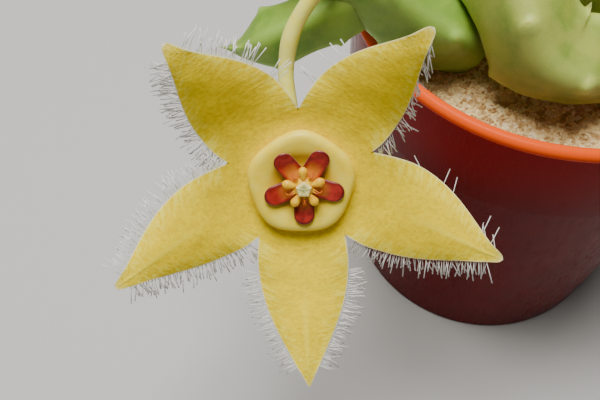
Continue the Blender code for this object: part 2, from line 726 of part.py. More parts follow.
def make_flower_stalk(collection):
    """The flower's stalk, widening under the flower into five small sepals"""
    top = Matrix.Translation((0, 0, STALK_TOP_LEVEL))
    radii = (STALK_RADIUS, STALK_TOP_RADIUS)
    parts = [stalk_cone("stalk_top", 12, radii, STALK_TOP_LENGTH, top, collection)]
    for i in range(SEPAL_COUNT):
        heading = SEPAL_START + 2 * math.pi * i / SEPAL_COUNT
        lying = Matrix.Rotation(heading, 4, "Z") @ Matrix.Rotation(math.pi / 2, 4, "Y")
        place = Matrix.Translation(flat(SEPAL_RING, heading) + Vector((0, 0, SEPAL_LEVEL)))
        sepal = place @ lying @ Matrix.Diagonal((SEPAL_FLATNESS, 1, 1, 1))
        parts.append(stalk_cone("sepal", 6, (SEPAL_HALF_WIDTH, SEPAL_TIP), SEPAL_LENGTH, sepal, collection))
    stalk = fuse(stalk_tube(collection), parts)
    finish(stalk, new_material("stalk_green", STALK_GREEN, 0.5))


def main():
    """Build the potted orbea"""
    clear_scene()
    parts = new_collection("potted_orbea")
    make_pot(parts, new_collection("drain_cutters"))
    make_grit(parts, new_collection("hole_cutters"))
    make_stems(parts)
    make_flower_stalk(parts)
    make_corolla(parts)
    make_annulus(parts)
    make_corona_outer(parts)
    make_corona_inner(parts)
    make_style_head(parts)


main()
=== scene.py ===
"""Potted orbea: the looks of its pot, sand, stems and flower, laid out as a Blender add-on.

The plant's sizes are given in millimetres and turned to metres by MM, and those of the floor and the
lights are in metres. The flower has its own frame, with X to the right, Y up and Z out of its open face.
"""

import json
import math
from collections import namedtuple

import bmesh
import bpy
from bpy.props import FloatProperty, FloatVectorProperty, IntProperty, PointerProperty
from mathutils import Matrix, Vector, noise

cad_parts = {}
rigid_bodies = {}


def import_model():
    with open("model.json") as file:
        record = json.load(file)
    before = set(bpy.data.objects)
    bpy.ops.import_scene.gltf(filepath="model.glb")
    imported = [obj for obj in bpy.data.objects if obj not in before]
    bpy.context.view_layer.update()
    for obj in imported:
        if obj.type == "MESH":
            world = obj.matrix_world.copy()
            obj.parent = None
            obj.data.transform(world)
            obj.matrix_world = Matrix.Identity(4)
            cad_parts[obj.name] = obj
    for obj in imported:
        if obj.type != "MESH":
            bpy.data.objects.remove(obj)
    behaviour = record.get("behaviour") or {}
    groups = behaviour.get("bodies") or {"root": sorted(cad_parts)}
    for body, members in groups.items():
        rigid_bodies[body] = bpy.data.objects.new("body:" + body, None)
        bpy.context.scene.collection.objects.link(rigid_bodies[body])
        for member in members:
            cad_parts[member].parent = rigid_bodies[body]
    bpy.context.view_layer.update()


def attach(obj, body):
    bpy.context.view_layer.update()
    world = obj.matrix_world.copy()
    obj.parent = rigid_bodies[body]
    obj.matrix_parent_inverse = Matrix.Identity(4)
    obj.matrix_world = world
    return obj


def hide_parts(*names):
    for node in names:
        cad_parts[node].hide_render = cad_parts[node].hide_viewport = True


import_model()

bl_info = {
    "name": "Potted orbea",
    "version": (1, 0, 0),
    "blender": (4, 5, 0),
    "location": "3D View > Sidebar > Orbea",
    "description": "Builds a potted orbea with its flower, stems, sand and pot",
    "category": "Add Mesh",
}

MM = 0.001

Stem = namedtuple("Stem", "path radius tubercle tooth tip turn root")
Lobe = namedtuple("Lobe", "reach heading half_width nib keel")
Notch = namedtuple("Notch", "reach heading")
Fringe = namedtuple("Fringe", "lobe side start end density slope sweep", defaults=(0.0,))


# Pot and sand

LIP_RADIUS = 32.0 * MM
LIP_BEAD = 0.95 * MM
LIP_LEVEL = 67.5 * MM
COLLAR_RADIUS = 30.9 * MM
COLLAR_LEVEL = 52.0 * MM
COLLAR_STEP = 0.7 * MM
COLLAR_INSET = 0.45 * MM
COLLAR_ROUND = 0.3 * MM
STEP_ROUND = 0.2 * MM
BASE_RADIUS = 26.0 * MM
BASE_ROUND = 0.75 * MM
WALL = 1.2 * MM
FLOOR = 1.8 * MM
FLOOR_ROUND = 0.6 * MM
FOOT_DEPTH = 1.0 * MM
FOOT_WIDTH = 2.4 * MM
HUB_RADIUS = 9.0 * MM
DRAIN_COUNT = 6
DRAIN_RADIUS = 2.6 * MM
DRAIN_RING = 15.5 * MM
DRAIN_CUT = 12.0 * MM
LIP_COLOUR_BAND = (65.8 * MM, 66.1 * MM)
# Heights over which the lip turns from painted shade below to the painted light of its top
LIP_PAINTED_LIGHT_BAND = (67.2 * MM, 68.0 * MM)
# Heights over which painted light on the wall grows towards its top
WALL_PAINTED_LIGHT_BAND = (50.0 * MM, 65.5 * MM)

GAP = 0.3 * MM
GRIT_LEVEL = 63.5 * MM
GRIT_CROWN = 0.4 * MM
GRIT_ROUGHNESS = 0.4 * MM
GRIT_BUMP_SIZE = 2.6 * MM
GRIT_RINGS = 60
GRIT_SIDES = 160
GRAIN_SIDES = 96
GRAIN_MARGIN = 0.25 * MM


# Stems

def mm(*points):
    """Points given in millimetres, as vectors in metres"""
    return [Vector(p) * MM for p in points]


def rooted(x, y, *bend):
    """A stem's route: straight up out of its hole at (x, y), then through the given points"""
    return mm((x, y, 54), (x, y, 60), (x, y, 64), *bend)


def stem(path, radius, tubercle, tooth, tip, turn, root=10):
    """A stem's route, with its sizes given in millimetres and the turn of its angles in radians"""
    return Stem(path, radius * MM, tubercle * MM, tooth * MM, tip * MM, turn, root * MM)


STEMS = {
    "stem_left": stem(rooted(-17.2, -9.6, (-17.9, -11.2, 68.4), (-21, -12.4, 72.3), (-27, -11.8, 76.2),
                             (-33, -9.5, 80.8), (-38, -7, 86.5), (-41.5, -4, 93)), 5.4, 0.6, 0.8, 8, 0.75),
    "stem_front": stem(rooted(6.5, -17.3, (4.2, -17.8, 68.6), (-1.5, -18.3, 71), (-7.5, -18.2, 73.2),
                              (-11.2, -14.7, 78.2), (-13.6, -8.4, 84.5), (-16.5, -1, 91), (-19, 5, 98)),
                       6.2, 0.7, 0.8, 9, 0.42, 17),
    "stem_middle": stem(rooted(5.5, -2.4, (5.2, -3.6, 70), (4.8, -5, 77), (5.8, -5.8, 85), (8, -5, 94)),
                        5.6, 1.1, 1.5, 8, 0.4),
    "stem_right": stem(rooted(17, -10, (18.3, -10.5, 70), (22, -12, 77), (27, -14.5, 83), (33, -17, 87)),
                       5.4, 1.2, 1.6, 8, 0.1),
    "stem_back_right": stem(rooted(14, 10, (14.5, 10.5, 73), (17, 12, 85), (20, 15, 96)),
                            5.8, 1.2, 1.5, 9, 0.5),
    "stem_back": stem(rooted(-2, 18, (-2.5, 19, 71), (-4, 22, 79), (-7, 27, 85), (-10, 33, 88)),
                      5.2, 1.2, 1.6, 8, 0.3),
    "stem_back_left": stem(rooted(-17, 9, (-17.8, 9.6, 71), (-22, 12.5, 79), (-27.5, 15, 85), (-34, 17, 88)),
                           5.2, 1.2, 1.6, 8, 0.7),
    "stem_centre": stem(rooted(-5, 5, (-5.3, 5.5, 75), (-6, 7, 89), (-5.5, 10, 102)), 6.0, 1.1, 1.4, 9, 0.0),
}
YOUNG_SHOOT = stem(mm((-26.5, -11.8, 76), (-30, -11.5, 75.7), (-34, -12.1, 74.2), (-41, -13.1, 70.8),
                      (-46.5, -12.9, 67.9), (-50.6, -11.6, 66.6)), 3.8, 0.4, 0.5, 9.5, -1.37)
SHOOT_POINT = 0.5
TOOTH_PITCH = 9.0 * MM
ROOT_SHARE = 0.8
ROOT_BLEND = 6.0 * MM
FACE_SHARE = 0.87
ANGLE_SPREAD = math.radians(26)
TUBERCLE_SPREAD = 0.28
TOOTH_SPREAD = 0.13
TOOTH_HALF_WIDTH = math.radians(15)
TOOTH_SHARPNESS = 1.3
LEAST_TO_TIP = 0.04 * MM


# Flower

FLOWER_PLACE = Vector((-38.9, -36.4, 70.0)) * MM
FLOWER_LEAN = math.radians(53)
FLOWER = Matrix.Translation(FLOWER_PLACE) @ Matrix.Rotation(FLOWER_LEAN, 4, "X")
CROWN_SHIFT = Vector((0.3, 0, 0)) * MM
CROWN = FLOWER @ Matrix.Translation(CROWN_SHIFT)
COROLLA_THICKNESS = 1.5 * MM
NOTCH_SHARE = 0.36
NOTCH_EASE = 4
WIDEST_SHARE = 0.38
TIP_TAPER = 1.25
NIB_SHARE = 0.90
NIB_BLEND = 3
KNEE_SHARE = 0.55
MARGIN_STEP = 0.02
LOBE_RISE = 6.0 * MM
LOBE_RISE_BEND = 0.9
LOBE_ARCH = 1.5 * MM
ARCH_START = 0.08
ARCH_STRETCH = 1.1
ARCH_EASE = 0.25
FLAT_RADIUS = 6.6 * MM
SEAM_REACH = 24.0 * MM
SEAM_EASE = 0.4
KEEL_WIDTH = 0.14
KEEL_LINE = 0.07
WAVE_SIZE = 2.6 * MM
WAVE_HEIGHT = 0.12 * MM
INNER_INSET = 5.0
STAR_WELD = 0.004 * MM
LOBES = tuple(Lobe(reach * MM, math.radians(heading), half_width * MM, nib * MM, keel * MM)
              for reach, heading, half_width, nib, keel in (
                  (24.5, -18, 6.8, 0.85, 0.10),
                  (23.3, 54, 6.0, 0.9, 0),
                  (22.4, 130, 6.4, 0.9, 0),
                  (24.6, 207.4, 5.9, 0.8, 0.08),
                  (25.0, 272.4, 6.2, 0.5, 0.10)))
NOTCHES = tuple(Notch(reach * MM, math.radians(heading)) for reach, heading in (
    (9.0, 24), (8.8, 92.4), (8.9, 165), (8.8, 234.2), (8.7, 308)))

# Hairs on stretches of the lobes' left (1) and right (-1) margins: from and to as shares of the margin
# between notch and tip, density as a share of the fullest, slope out of the flower's plane, and lean
# along the margin
FRINGE = (
    Fringe(0, 1, 0.05, 0.60, 0.03, -2.2),
    Fringe(0, 1, 0.72, 0.93, 0.30, -2.2),
    Fringe(0, -1, 0.06, 0.90, 1.0, -0.25),
    Fringe(1, 1, 0.16, 0.48, 0.22, -0.3),
    Fringe(1, 1, 0.50, 0.90, 0.03, -2.0),
    Fringe(1, -1, 0.05, 0.45, 0.9, -0.5, 0.5),
    Fringe(1, -1, 0.45, 0.93, 0.8, -1.1, 2.2),
    Fringe(2, 1, 0.03, 0.88, 1.0, -0.25),
    Fringe(2, -1, 0.12, 0.42, 0.16, -0.2),
    Fringe(2, -1, 0.40, 0.88, 0.75, -0.3),
    Fringe(3, 1, 0.06, 0.90, 0.95, -0.3),
    Fringe(3, -1, 0.04, 0.90, 0.9, -0.3),
    Fringe(4, 1, 0.20, 0.82, 1.0, -0.2),
    Fringe(4, -1, 0.20, 0.82, 1.0, -0.2),
)
FRINGE_SAMPLES = 24
HAIR_ROOT = 0.985
HAIR_ROOT_DEPTH = 0.3

RING_GUIDE = ((0, 0.75), (1.4, 0.74), (2.4, 0.78), (3.1, 0.98), (3.7, 1.27), (4.3, 1.48), (4.9, 1.60),
              (5.4, 1.66), (5.8, 1.62), (6.1, 1.48), (6.32, 1.22), (6.43, 0.95), (6.42, 0.65), (6.3, 0.42),
              (6.0, 0.25), (3, 0.2), (0, 0.2))
RING_DRAW = 0.03
RING_SIDES = 160
# Middle and reach of the painted shade in the ring's bowl, strongest near the middle
BOWL_MIDDLE = 0.6 * MM
BOWL_SHADE_BAND = (4.4 * MM, 2.6 * MM)

CORONA_HEADINGS = tuple(math.radians(heading) for heading in (-12, 60.5, 129, 200, 271))
FINGER_REACH = 3.65 * MM
FINGER_RADIUS = 1.22 * MM
CORONA_CORE = 1.6 * MM
CORONA_LEVEL = 1.75 * MM
CORONA_LIFT = 0.7 * MM
CORONA_THICKNESS = 0.72 * MM
CORONA_HOLLOW = 0.2 * MM
CORONA_SIDES = 300
CORONA_RINGS = 26

INNER_HEADINGS = tuple(math.radians(heading) for heading in (21.5, 93, 166.5, 239.5, 307))
EGG_RING = 1.75 * MM
EGG_LEVEL = 2.65 * MM
EGG_HALF_SIZE = Vector((0.85, 0.58, 0.5)) * MM
INNER_RING_FOOT = 1.3 * MM
INNER_RING_TOP = 1.15 * MM
INNER_RING_HEIGHT = 0.6 * MM
INNER_RING_LEVEL = 2.4 * MM
THREAD_GUIDE = ((1.1, 0.0, 2.55), (1.55, 0.05, 2.95), (1.95, 0.12, 2.85), (2.2, 0.02, 2.55))
THREAD_RADIUS = 0.09 * MM
THREAD_START = 1.32 * MM
THREAD_ASIDE = math.radians(30)
THREAD_CLEAR = math.radians(24)

HEAD_SECTION = ((0.08, 3.36), (0.22, 3.33), (0.42, 3.36), (0.62, 3.42), (0.80, 3.38), (0.87, 3.25),
                (0.88, 3.08), (0.8, 2.97), (0.35, 2.95))
HEAD_TOP = 3.37 * MM
HEAD_FOOT = 2.95 * MM
HEAD_SIDES = 100
HEAD_TURN = math.radians(18)

STALK_RADIUS = 1.05 * MM
STALK_TOP_RADIUS = 2.3 * MM
STALK_FOOT = 0.2 * MM
STALK_RINGS = 120
STALK_SIDES = 28
STALK_ARCH = mm((-35.6, -14.0, 82.0), (-36.3, -16.1, 82.2), (-37.9, -17.4, 80.6), (-39.4, -18.6, 78.4),
                (-40.3, -19.8, 76.4), (-40.7, -21.0, 74.2), (-40.8, -22.6, 72.1))
STALK_BEND = mm((-1.4, 6.0, -9.4), (-0.7, 2.6, -7.9), (-0.2, 0.6, -5.2), (0, 0, -2.2))
SEPAL_START = 1.0
SEPAL_LENGTH = 4.2
SEPAL_HALF_WIDTH = 1.05 * MM
SEPAL_HALF_DEPTH = 0.25 * MM
SEPAL_LEVEL = -2.5 * MM
SEPAL_POINT = 0.03 * MM
SEPAL_RINGS = 16
SEPAL_SIDES = 12


# Colours that finish the ones in the settings

# Painted light: the colour the upper wall is lightened to near the lip
WALL_PAINTED_LIGHT = (0.28, 0.0, 0.0)
# Painted shade: the deeper red of the lip's underside, away from the light
LIP_PAINTED_SHADE = (0.62, 0.035, 0.0)
PALEST_GRAIN = (0.95, 0.82, 0.56)
MARGIN_CREAM = (1.0, 0.86, 0.10)
MIDDLE_CREAM = (1.0, 0.86, 0.08)
TIP_GREEN = (0.92, 0.82, 0.22)
TIP_WHITE = (1.0, 0.94, 0.70)
EDGE_CREAM = (1.0, 0.90, 0.46)
BACK_GREEN = (0.60, 0.62, 0.20)
HAIR_GLINT = (0.98, 0.97, 0.94)
RING_LIGHT = (1.0, 0.80, 0.09)
# Painted shade: the gold deep in the ring's bowl
BOWL_PAINTED_SHADE = (0.72, 0.42, 0.0)
CROWN_ROOT = (0.66, 0.22, 0.02)
CROWN_DARK_RIM = (0.10, 0.006, 0.010)
CROWN_EDGE = (0.62, 0.22, 0.20)
INNER_DEEP = (0.94, 0.44, 0.0)
INNER_LIGHT = (1.0, 0.66, 0.03)
THREAD_RED = (0.70, 0.14, 0.01)
HEAD_GREEN = (0.45, 0.50, 0.16)
HEAD_CREAM = (0.92, 0.80, 0.26)
HEAD_LIGHT = (0.96, 0.88, 0.40)
STALK_DEEP = (0.95, 0.88, 0.10)
STALK_LIGHT = (1.0, 0.93, 0.34)


# Stage

LENS_MM = 45.0
SENSOR_MM = 36.0
CAMERA_PLACE = Vector((-39.04, -85.76, 144.64)) * MM
CAMERA_PITCH = math.radians(58)
FLOOR_HALF_SIZE = 1.2
LIGHT_AIM = Vector((-20, -15, 70)) * MM
KEY_PLACE = Vector((-0.08, 0.03, 0.62))
KEY_SIZE = 0.30
FILL_PLACE = Vector((-0.25, -0.45, 0.35))
FILL_SIZE = 0.5
LAMP_COLOUR = (1.0, 0.975, 0.93)
SKY_COLOUR = (1.0, 0.99, 0.97)


def smooth_step(x):
    """A ramp from 0 to 1 with level ends"""
    x = max(0.0, min(1.0, x))
    return x * x * (3 - 2 * x)


def polar(reach, heading, level=0.0):
    """A point from its distance and direction round Z, and its level"""
    return Vector((reach * math.cos(heading), reach * math.sin(heading), level))


def turn_between(a, b):
    """Angle from one heading to another, between half a turn back and half a turn on"""
    return math.remainder(b - a, 2 * math.pi)


class Route:
    """A smooth line through a few points, with a frame that doesn't twist along it"""

    def __init__(self, points, pieces=12):
        ends = [points[0] * 2 - points[1]] + list(points) + [points[-1] * 2 - points[-2]]
        self.places = []
        for a, b, c, d in zip(ends, ends[1:], ends[2:], ends[3:]):
            for i in range(pieces):
                t = i / pieces
                self.places.append(0.5 * (2 * b + (c - a) * t + (2 * a - 5 * b + 4 * c - d) * t ** 2
                                          + (3 * b - a - 3 * c + d) * t ** 3))
        self.places.append(points[-1].copy())
        self.lengths = [0.0]
        for first, second in zip(self.places, self.places[1:]):
            self.lengths.append(self.lengths[-1] + (second - first).length)
        self.total = self.lengths[-1]
        self.sides = []
        side = Vector((1, 0, 0))
        for i in range(len(self.places)):
            ahead = self.heading(i)
            side = (side - ahead * side.dot(ahead)).normalized()
            self.sides.append(side)

    def heading(self, i):
        """Direction of the line at its i-th place"""
        low = max(0, i - 1)
        high = min(len(self.places) - 1, i + 1)
        return (self.places[high] - self.places[low]).normalized()

    def at(self, distance):
        """Place, direction and side of the line at a distance from its start"""
        i = 0
        while i < len(self.lengths) - 2 and self.lengths[i + 1] < distance:
            i += 1
        share = (distance - self.lengths[i]) / (self.lengths[i + 1] - self.lengths[i])
        share = max(0.0, min(1.0, share))
        place = self.places[i].lerp(self.places[i + 1], share)
        ahead = self.heading(i).lerp(self.heading(i + 1), share).normalized()
        side = self.sides[i].lerp(self.sides[i + 1], share)
        side = (side - ahead * side.dot(ahead)).normalized()
        return place, ahead, side


# Meshes

def placed(name, data):
    """A new object in the scene"""
    thing = bpy.data.objects.new(name, data)
    bpy.context.scene.collection.objects.link(thing)
    return thing


def plain_mesh(name, bm):
    """A new mesh from a bmesh, which is freed"""
    mesh = bpy.data.meshes.new(name)
    bm.to_mesh(mesh)
    bm.free()
    return mesh


def apply_modifiers(thing):
    """Turn a piece's modifiers into plain mesh"""
    graph = bpy.context.evaluated_depsgraph_get()
    mesh = bpy.data.meshes.new_from_object(thing.evaluated_get(graph))
    thing.modifiers.clear()
    old = thing.data
    thing.data = mesh
    bpy.data.meshes.remove(old)
    mesh.name = thing.name


def settle(thing, nodes):
    """Fix a piece to the model: it rides on the body, and stands for CAD nodes"""
    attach(thing, "root")
    if nodes:
        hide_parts(*nodes)


class Shape:
    """Points and faces of a piece, with a few numbers kept at each point"""

    def __init__(self, *attributes):
        self.points = []
        self.faces = []
        self.values = {name: [] for name in attributes}

    def point(self, place, **values):
        """Add a point, and give its number"""
        self.points.append(place)
        for name, kept in self.values.items():
            kept.append(values.get(name, 0.0))
        return len(self.points) - 1

    def ring(self, count, place_at, **values):
        """Add a round row of points, at the places that a function gives for their turns"""
        return [self.point(place_at(2 * math.pi * i / count), **values) for i in range(count)]

    def middle(self, row):
        """Add the point in the middle of a row"""
        return self.point(sum((self.points[i] for i in row), Vector()) / len(row))

    def strip(self, lower, upper, closed=True):
        """Join two rows of points with faces"""
        count = len(lower) if closed else len(lower) - 1
        for i in range(count):
            j = (i + 1) % len(lower)
            self.faces.append((lower[i], lower[j], upper[j], upper[i]))

    def fan(self, row, tip, upward=True):
        """Close a round row of points on one point"""
        for i in range(len(row)):
            j = (i + 1) % len(row)
            self.faces.append((row[i], row[j], tip) if upward else (row[j], row[i], tip))

    def tube(self, rows, top, bottom):
        """Join round rows, listed from the top down, and close them on a top and a bottom point"""
        for above, below in zip(rows, rows[1:]):
            self.strip(below, above)
        self.fan(rows[0], top)
        self.fan(rows[-1], bottom, upward=False)

    def piece(self, name, material, weld=0.0):
        """The finished object, shaded smooth"""
        mesh = bpy.data.meshes.new(name)
        mesh.from_pydata(self.points, [], self.faces)
        for key, kept in self.values.items():
            mesh.attributes.new(key, "FLOAT", "POINT").data.foreach_set("value", kept)
        if weld:
            bm = bmesh.new()
            bm.from_mesh(mesh)
            bmesh.ops.remove_doubles(bm, verts=bm.verts, dist=weld)
            bmesh.ops.dissolve_degenerate(bm, edges=bm.edges, dist=weld / 10)
            bm.to_mesh(mesh)
            bm.free()
        mesh.materials.append(material)
        mesh.shade_smooth()
        return placed(name, mesh)


def turned(name, section, sides, material, change=Vector):
    """A shape turned from (radius, height) points that run from the axis at the top back to it"""
    shape = Shape()
    rows = []
    for radius, height in section[1:-1]:
        rows.append(shape.ring(sides, lambda turn: change(polar(radius, turn, height))))
    top, bottom = (shape.point(change(Vector((0, 0, section[end][1])))) for end in (0, -1))
    shape.tube(rows, top, bottom)
    return shape.piece(name, material)


# Nodes and materials

def put(tree, socket, value):
    """Link or set one input of a node"""
    if isinstance(value, bpy.types.NodeSocket):
        tree.links.new(value, socket)
    elif socket.type == "RGBA":
        socket.default_value = (*value[:3], 1.0)
    else:
        socket.default_value = value


def node(tree, kind, links=(), **settings):
    """A node with its settings, and with inputs linked or set"""
    made = tree.nodes.new(kind)
    for key, value in settings.items():
        setattr(made, key, value)
    for socket, value in links:
        put(tree, made.inputs[socket], value)
    return made


def shade(colour, factors, lift=0.0):
    """A colour with its red, green and blue multiplied, then lifted"""
    return [min(1.0, part * factor + lift) for part, factor in zip(colour, factors)]


class Finish:
    """A procedural material: a Principled shader and the nodes that feed it"""

    def __init__(self, name, roughness, **sockets):
        self.material = bpy.data.materials.new(name)
        self.material.use_nodes = True
        self.tree = self.material.node_tree
        self.shader = self.tree.nodes["Principled BSDF"]
        self.set(Roughness=roughness, **sockets)
        self.object_place = self.add("ShaderNodeTexCoord").outputs["Object"]

    def add(self, kind, links=(), **settings):
        """A new node with its settings and inputs"""
        return node(self.tree, kind, links, **settings)

    def set(self, **sockets):
        """Link or set the shader's own inputs"""
        for name, value in sockets.items():
            put(self.tree, self.shader.inputs[name.replace("_", " ")], value)

    def noise(self, size, detail=3.0, stretch=(1, 1, 1), place=None, rough=0.5):
        """Soft noise with features of a size in metres"""
        mapping = self.add("ShaderNodeMapping", [("Vector", place or self.object_place),
                                                 ("Scale", [s / size for s in stretch])])
        return self.add("ShaderNodeTexNoise", [("Vector", mapping.outputs["Vector"]), ("Scale", 1.0),
                                               ("Detail", detail), ("Roughness", rough)]).outputs["Fac"]

    def cells(self, size, output="Distance"):
        """Distance to the middle of cells of a size in metres, or each cell's colour by chance"""
        return self.add("ShaderNodeTexVoronoi", [("Vector", self.object_place),
                                                 ("Scale", 1.0 / size)]).outputs[output]

    def patches(self, size):
        """A number by chance for each cell of a size in metres"""
        return self.add("ShaderNodeSeparateColor", [(0, self.cells(size, "Color"))]).outputs[0]

    def attribute(self, name):
        """A number kept at each point of the mesh"""
        return self.add("ShaderNodeAttribute", attribute_name=name).outputs["Fac"]

    def height(self):
        """Height of the place on the object"""
        return self.add("ShaderNodeSeparateXYZ", [(0, self.object_place)]).outputs["Z"]

    def band(self, value, low, high, start=0.0, end=1.0):
        """A smooth ramp as a value goes from low to high"""
        return self.add("ShaderNodeMapRange", [("Value", value), ("From Min", low), ("From Max", high),
                                               ("To Min", start), ("To Max", end)],
                        interpolation_type="SMOOTHSTEP").outputs["Result"]

    def product(self, a, b):
        """Two values multiplied"""
        return self.add("ShaderNodeMath", [(0, a), (1, b)], operation="MULTIPLY").outputs[0]

    def mix(self, share, a, b):
        """A share of the way from one colour to another"""
        made = self.add("ShaderNodeMix", [("Factor", share), ("A", a), ("B", b)], data_type="RGBA")
        return next(s for s in made.outputs if s.type == "RGBA" and s.enabled)

    def tint(self, base, value, low, high, share, colour):
        """A colour mixed in, up to a share, as a value goes from low to high"""
        return self.mix(self.band(value, low, high, 0.0, share), base, colour)

    def bump(self, height, depth, below=None):
        """Relief of a depth in metres, over the relief below it"""
        links = [("Distance", depth), ("Height", height)]
        if below:
            links.append(("Normal", below))
        return self.add("ShaderNodeBump", links).outputs["Normal"]

    def soften(self, weight, radius, colour_radius=(1.0, 0.6, 0.3)):
        """Light that scatters under the skin"""
        self.set(Subsurface_Weight=weight, Subsurface_Scale=radius, Subsurface_Radius=colour_radius)


# Settings that a user would change

def colour(name, value, text):
    """A colour setting"""
    return FloatVectorProperty(name=name, description=text, default=value, subtype="COLOR", size=3,
                               min=0.0, max=1.0)


def length(name, value, text):
    """A length setting"""
    return FloatProperty(name=name, description=text, default=value, unit="LENGTH")


def power(name, value, text):
    """A setting of a light's power"""
    return FloatProperty(name=name, description=text, default=value, unit="POWER")


class OrbeaPotSettings(bpy.types.PropertyGroup):
    """The plastic pot"""
    lip_radius: length("Lip radius", LIP_RADIUS, "Outer radius of the rolled lip")
    steps: IntProperty(name="Steps", description="Sides of the turned pot", default=192, min=24)
    wall_colour: colour("Wall", (0.14, 0.0, 0.0), "Colour of the wall")
    # Painted light: the lip's orange, where light comes through the thin plastic
    lip_colour: colour("Lip", (0.90, 0.10, 0.004), "Colour of the thin lip, where light comes through")


class OrbeaGritSettings(bpy.types.PropertyGroup):
    """The coarse sand"""
    grain: length("Grain", 0.78 * MM, "Width of a middling grain")
    spacing: length("Spacing", 0.48 * MM, "Least distance between grains")
    seed: IntProperty(name="Seed", description="Seed of the grains' places", default=4)
    light: colour("Light grains", (0.92, 0.73, 0.37), "Colour of the palest grains")
    dark: colour("Dark grains", (0.52, 0.32, 0.12), "Colour of the darkest grains")


class OrbeaStemSettings(bpy.types.PropertyGroup):
    """The stems"""
    sides: IntProperty(name="Sides", description="Sides of a stem's section", default=72, min=12)
    ring_pitch: length("Ring pitch", 0.45 * MM, "Distance between a stem's rings")
    green: colour("Green", (0.26, 0.42, 0.06), "Colour of the green stems")
    pale: colour("Pale green", (0.41, 0.48, 0.09), "Colour of the pale front stem")
    tan: colour("Tan", (0.50, 0.44, 0.10), "Colour of the teeth's dry tips")


class OrbeaFlowerSettings(bpy.types.PropertyGroup):
    """The flower and its stalk"""
    columns: IntProperty(name="Columns", description="Faces across a lobe", default=44, min=6)
    rows: IntProperty(name="Rows", description="Faces along a lobe", default=90, min=12)
    yellow: colour("Yellow", (0.92, 0.68, 0.0), "Colour of the lobes")
    gold: colour("Gold", (0.80, 0.58, 0.0), "Colour of the lobes' deeper patches")
    lemon: colour("Lemon", (1.0, 0.80, 0.0), "Colour of the lobes' pale streaks")
    cream: colour("Cream", (0.98, 0.74, 0.03), "Colour of the ring")
    maroon: colour("Maroon", (0.44, 0.028, 0.018), "Colour of the outer crown")
    orange: colour("Orange", (1.0, 0.57, 0.0), "Colour of the inner crown")
    stalk: colour("Stalk", (1.0, 0.93, 0.24), "Colour of the stalk")


class OrbeaFringeSettings(bpy.types.PropertyGroup):
    """The white hairs on the lobes' margins"""
    length: length("Length", 2.6 * MM, "Length of a hair")
    thickness: length("Thickness", 0.06 * MM, "Radius of a hair")
    spacing: length("Spacing", 0.17 * MM, "Distance between hairs along a margin")
    spread: FloatProperty(name="Spread", description="How far the hairs stray from straight out",
                          default=0.36)
    seed: IntProperty(name="Seed", description="Seed of the hairs' turns and lengths", default=11)
    white: colour("White", (0.85, 0.84, 0.80), "Colour of the hairs")


class OrbeaStageSettings(bpy.types.PropertyGroup):
    """The floor and the light"""
    floor_colour: colour("Floor", (0.62, 0.615, 0.605), "Colour of the plain floor")
    key_power: power("Key light", 5.7, "Power of the soft light above")
    fill_power: power("Fill light", 0.15, "Power of the soft light in front")
    sky: FloatProperty(name="Sky", description="Strength of the even light all round", default=0.04)


# The pot

def arc(centre, radius, start, end, count):
    """Points on an arc in a section, with its angles in degrees"""
    points = []
    for i in range(count):
        angle = math.radians(start + (end - start) * i / (count - 1))
        points.append((centre[0] + radius * math.cos(angle), centre[1] + radius * math.sin(angle)))
    return points


def outer_wall(height):
    """Outer radius of the tapered wall below the collar"""
    top = COLLAR_RADIUS - COLLAR_STEP
    return BASE_RADIUS + (top - BASE_RADIUS) * height / COLLAR_LEVEL


def inner_section(clearance):
    """The pot's inside from its floor up to the collar, drawn in by a clearance"""
    floor = FOOT_DEPTH + FLOOR + clearance
    inset = WALL + clearance
    corner = outer_wall(floor) - inset
    return [(0, floor), (corner - FLOOR_ROUND, floor), (corner, floor + FLOOR_ROUND),
            (outer_wall(COLLAR_LEVEL) - inset, COLLAR_LEVEL - WALL),
            (COLLAR_RADIUS - COLLAR_STEP / 2 - inset, COLLAR_LEVEL + WALL / 2)]


def pot_section(lip_radius):
    """The pot's section, from the middle of its floor up the inside, over the lip and down to its base"""
    lip = arc((lip_radius - LIP_BEAD, LIP_LEVEL), LIP_BEAD, 200, -75, 25)
    under = [(lip[0][0], LIP_LEVEL - 2 * LIP_BEAD)]
    neck = [(lip[-1][0] - 0.05 * MM, lip[-1][1] - 0.12 * MM), (COLLAR_RADIUS, LIP_LEVEL - 1.45 * LIP_BEAD)]
    collar = arc((COLLAR_RADIUS - COLLAR_INSET, COLLAR_LEVEL), COLLAR_ROUND, 0, -90, 7)
    step = arc((outer_wall(COLLAR_LEVEL) + STEP_ROUND, COLLAR_LEVEL - COLLAR_STEP), STEP_ROUND, 90, 180, 5)
    base = arc((BASE_RADIUS - BASE_ROUND, BASE_ROUND), BASE_ROUND, 5, -90, 8)
    foot = [(BASE_RADIUS - FOOT_WIDTH, 0), (BASE_RADIUS - FOOT_WIDTH - FOOT_DEPTH, FOOT_DEPTH),
            (HUB_RADIUS + FOOT_DEPTH, FOOT_DEPTH), (HUB_RADIUS, 0), (0, 0)]
    return inner_section(0) + under + lip + neck + collar + step + base + foot


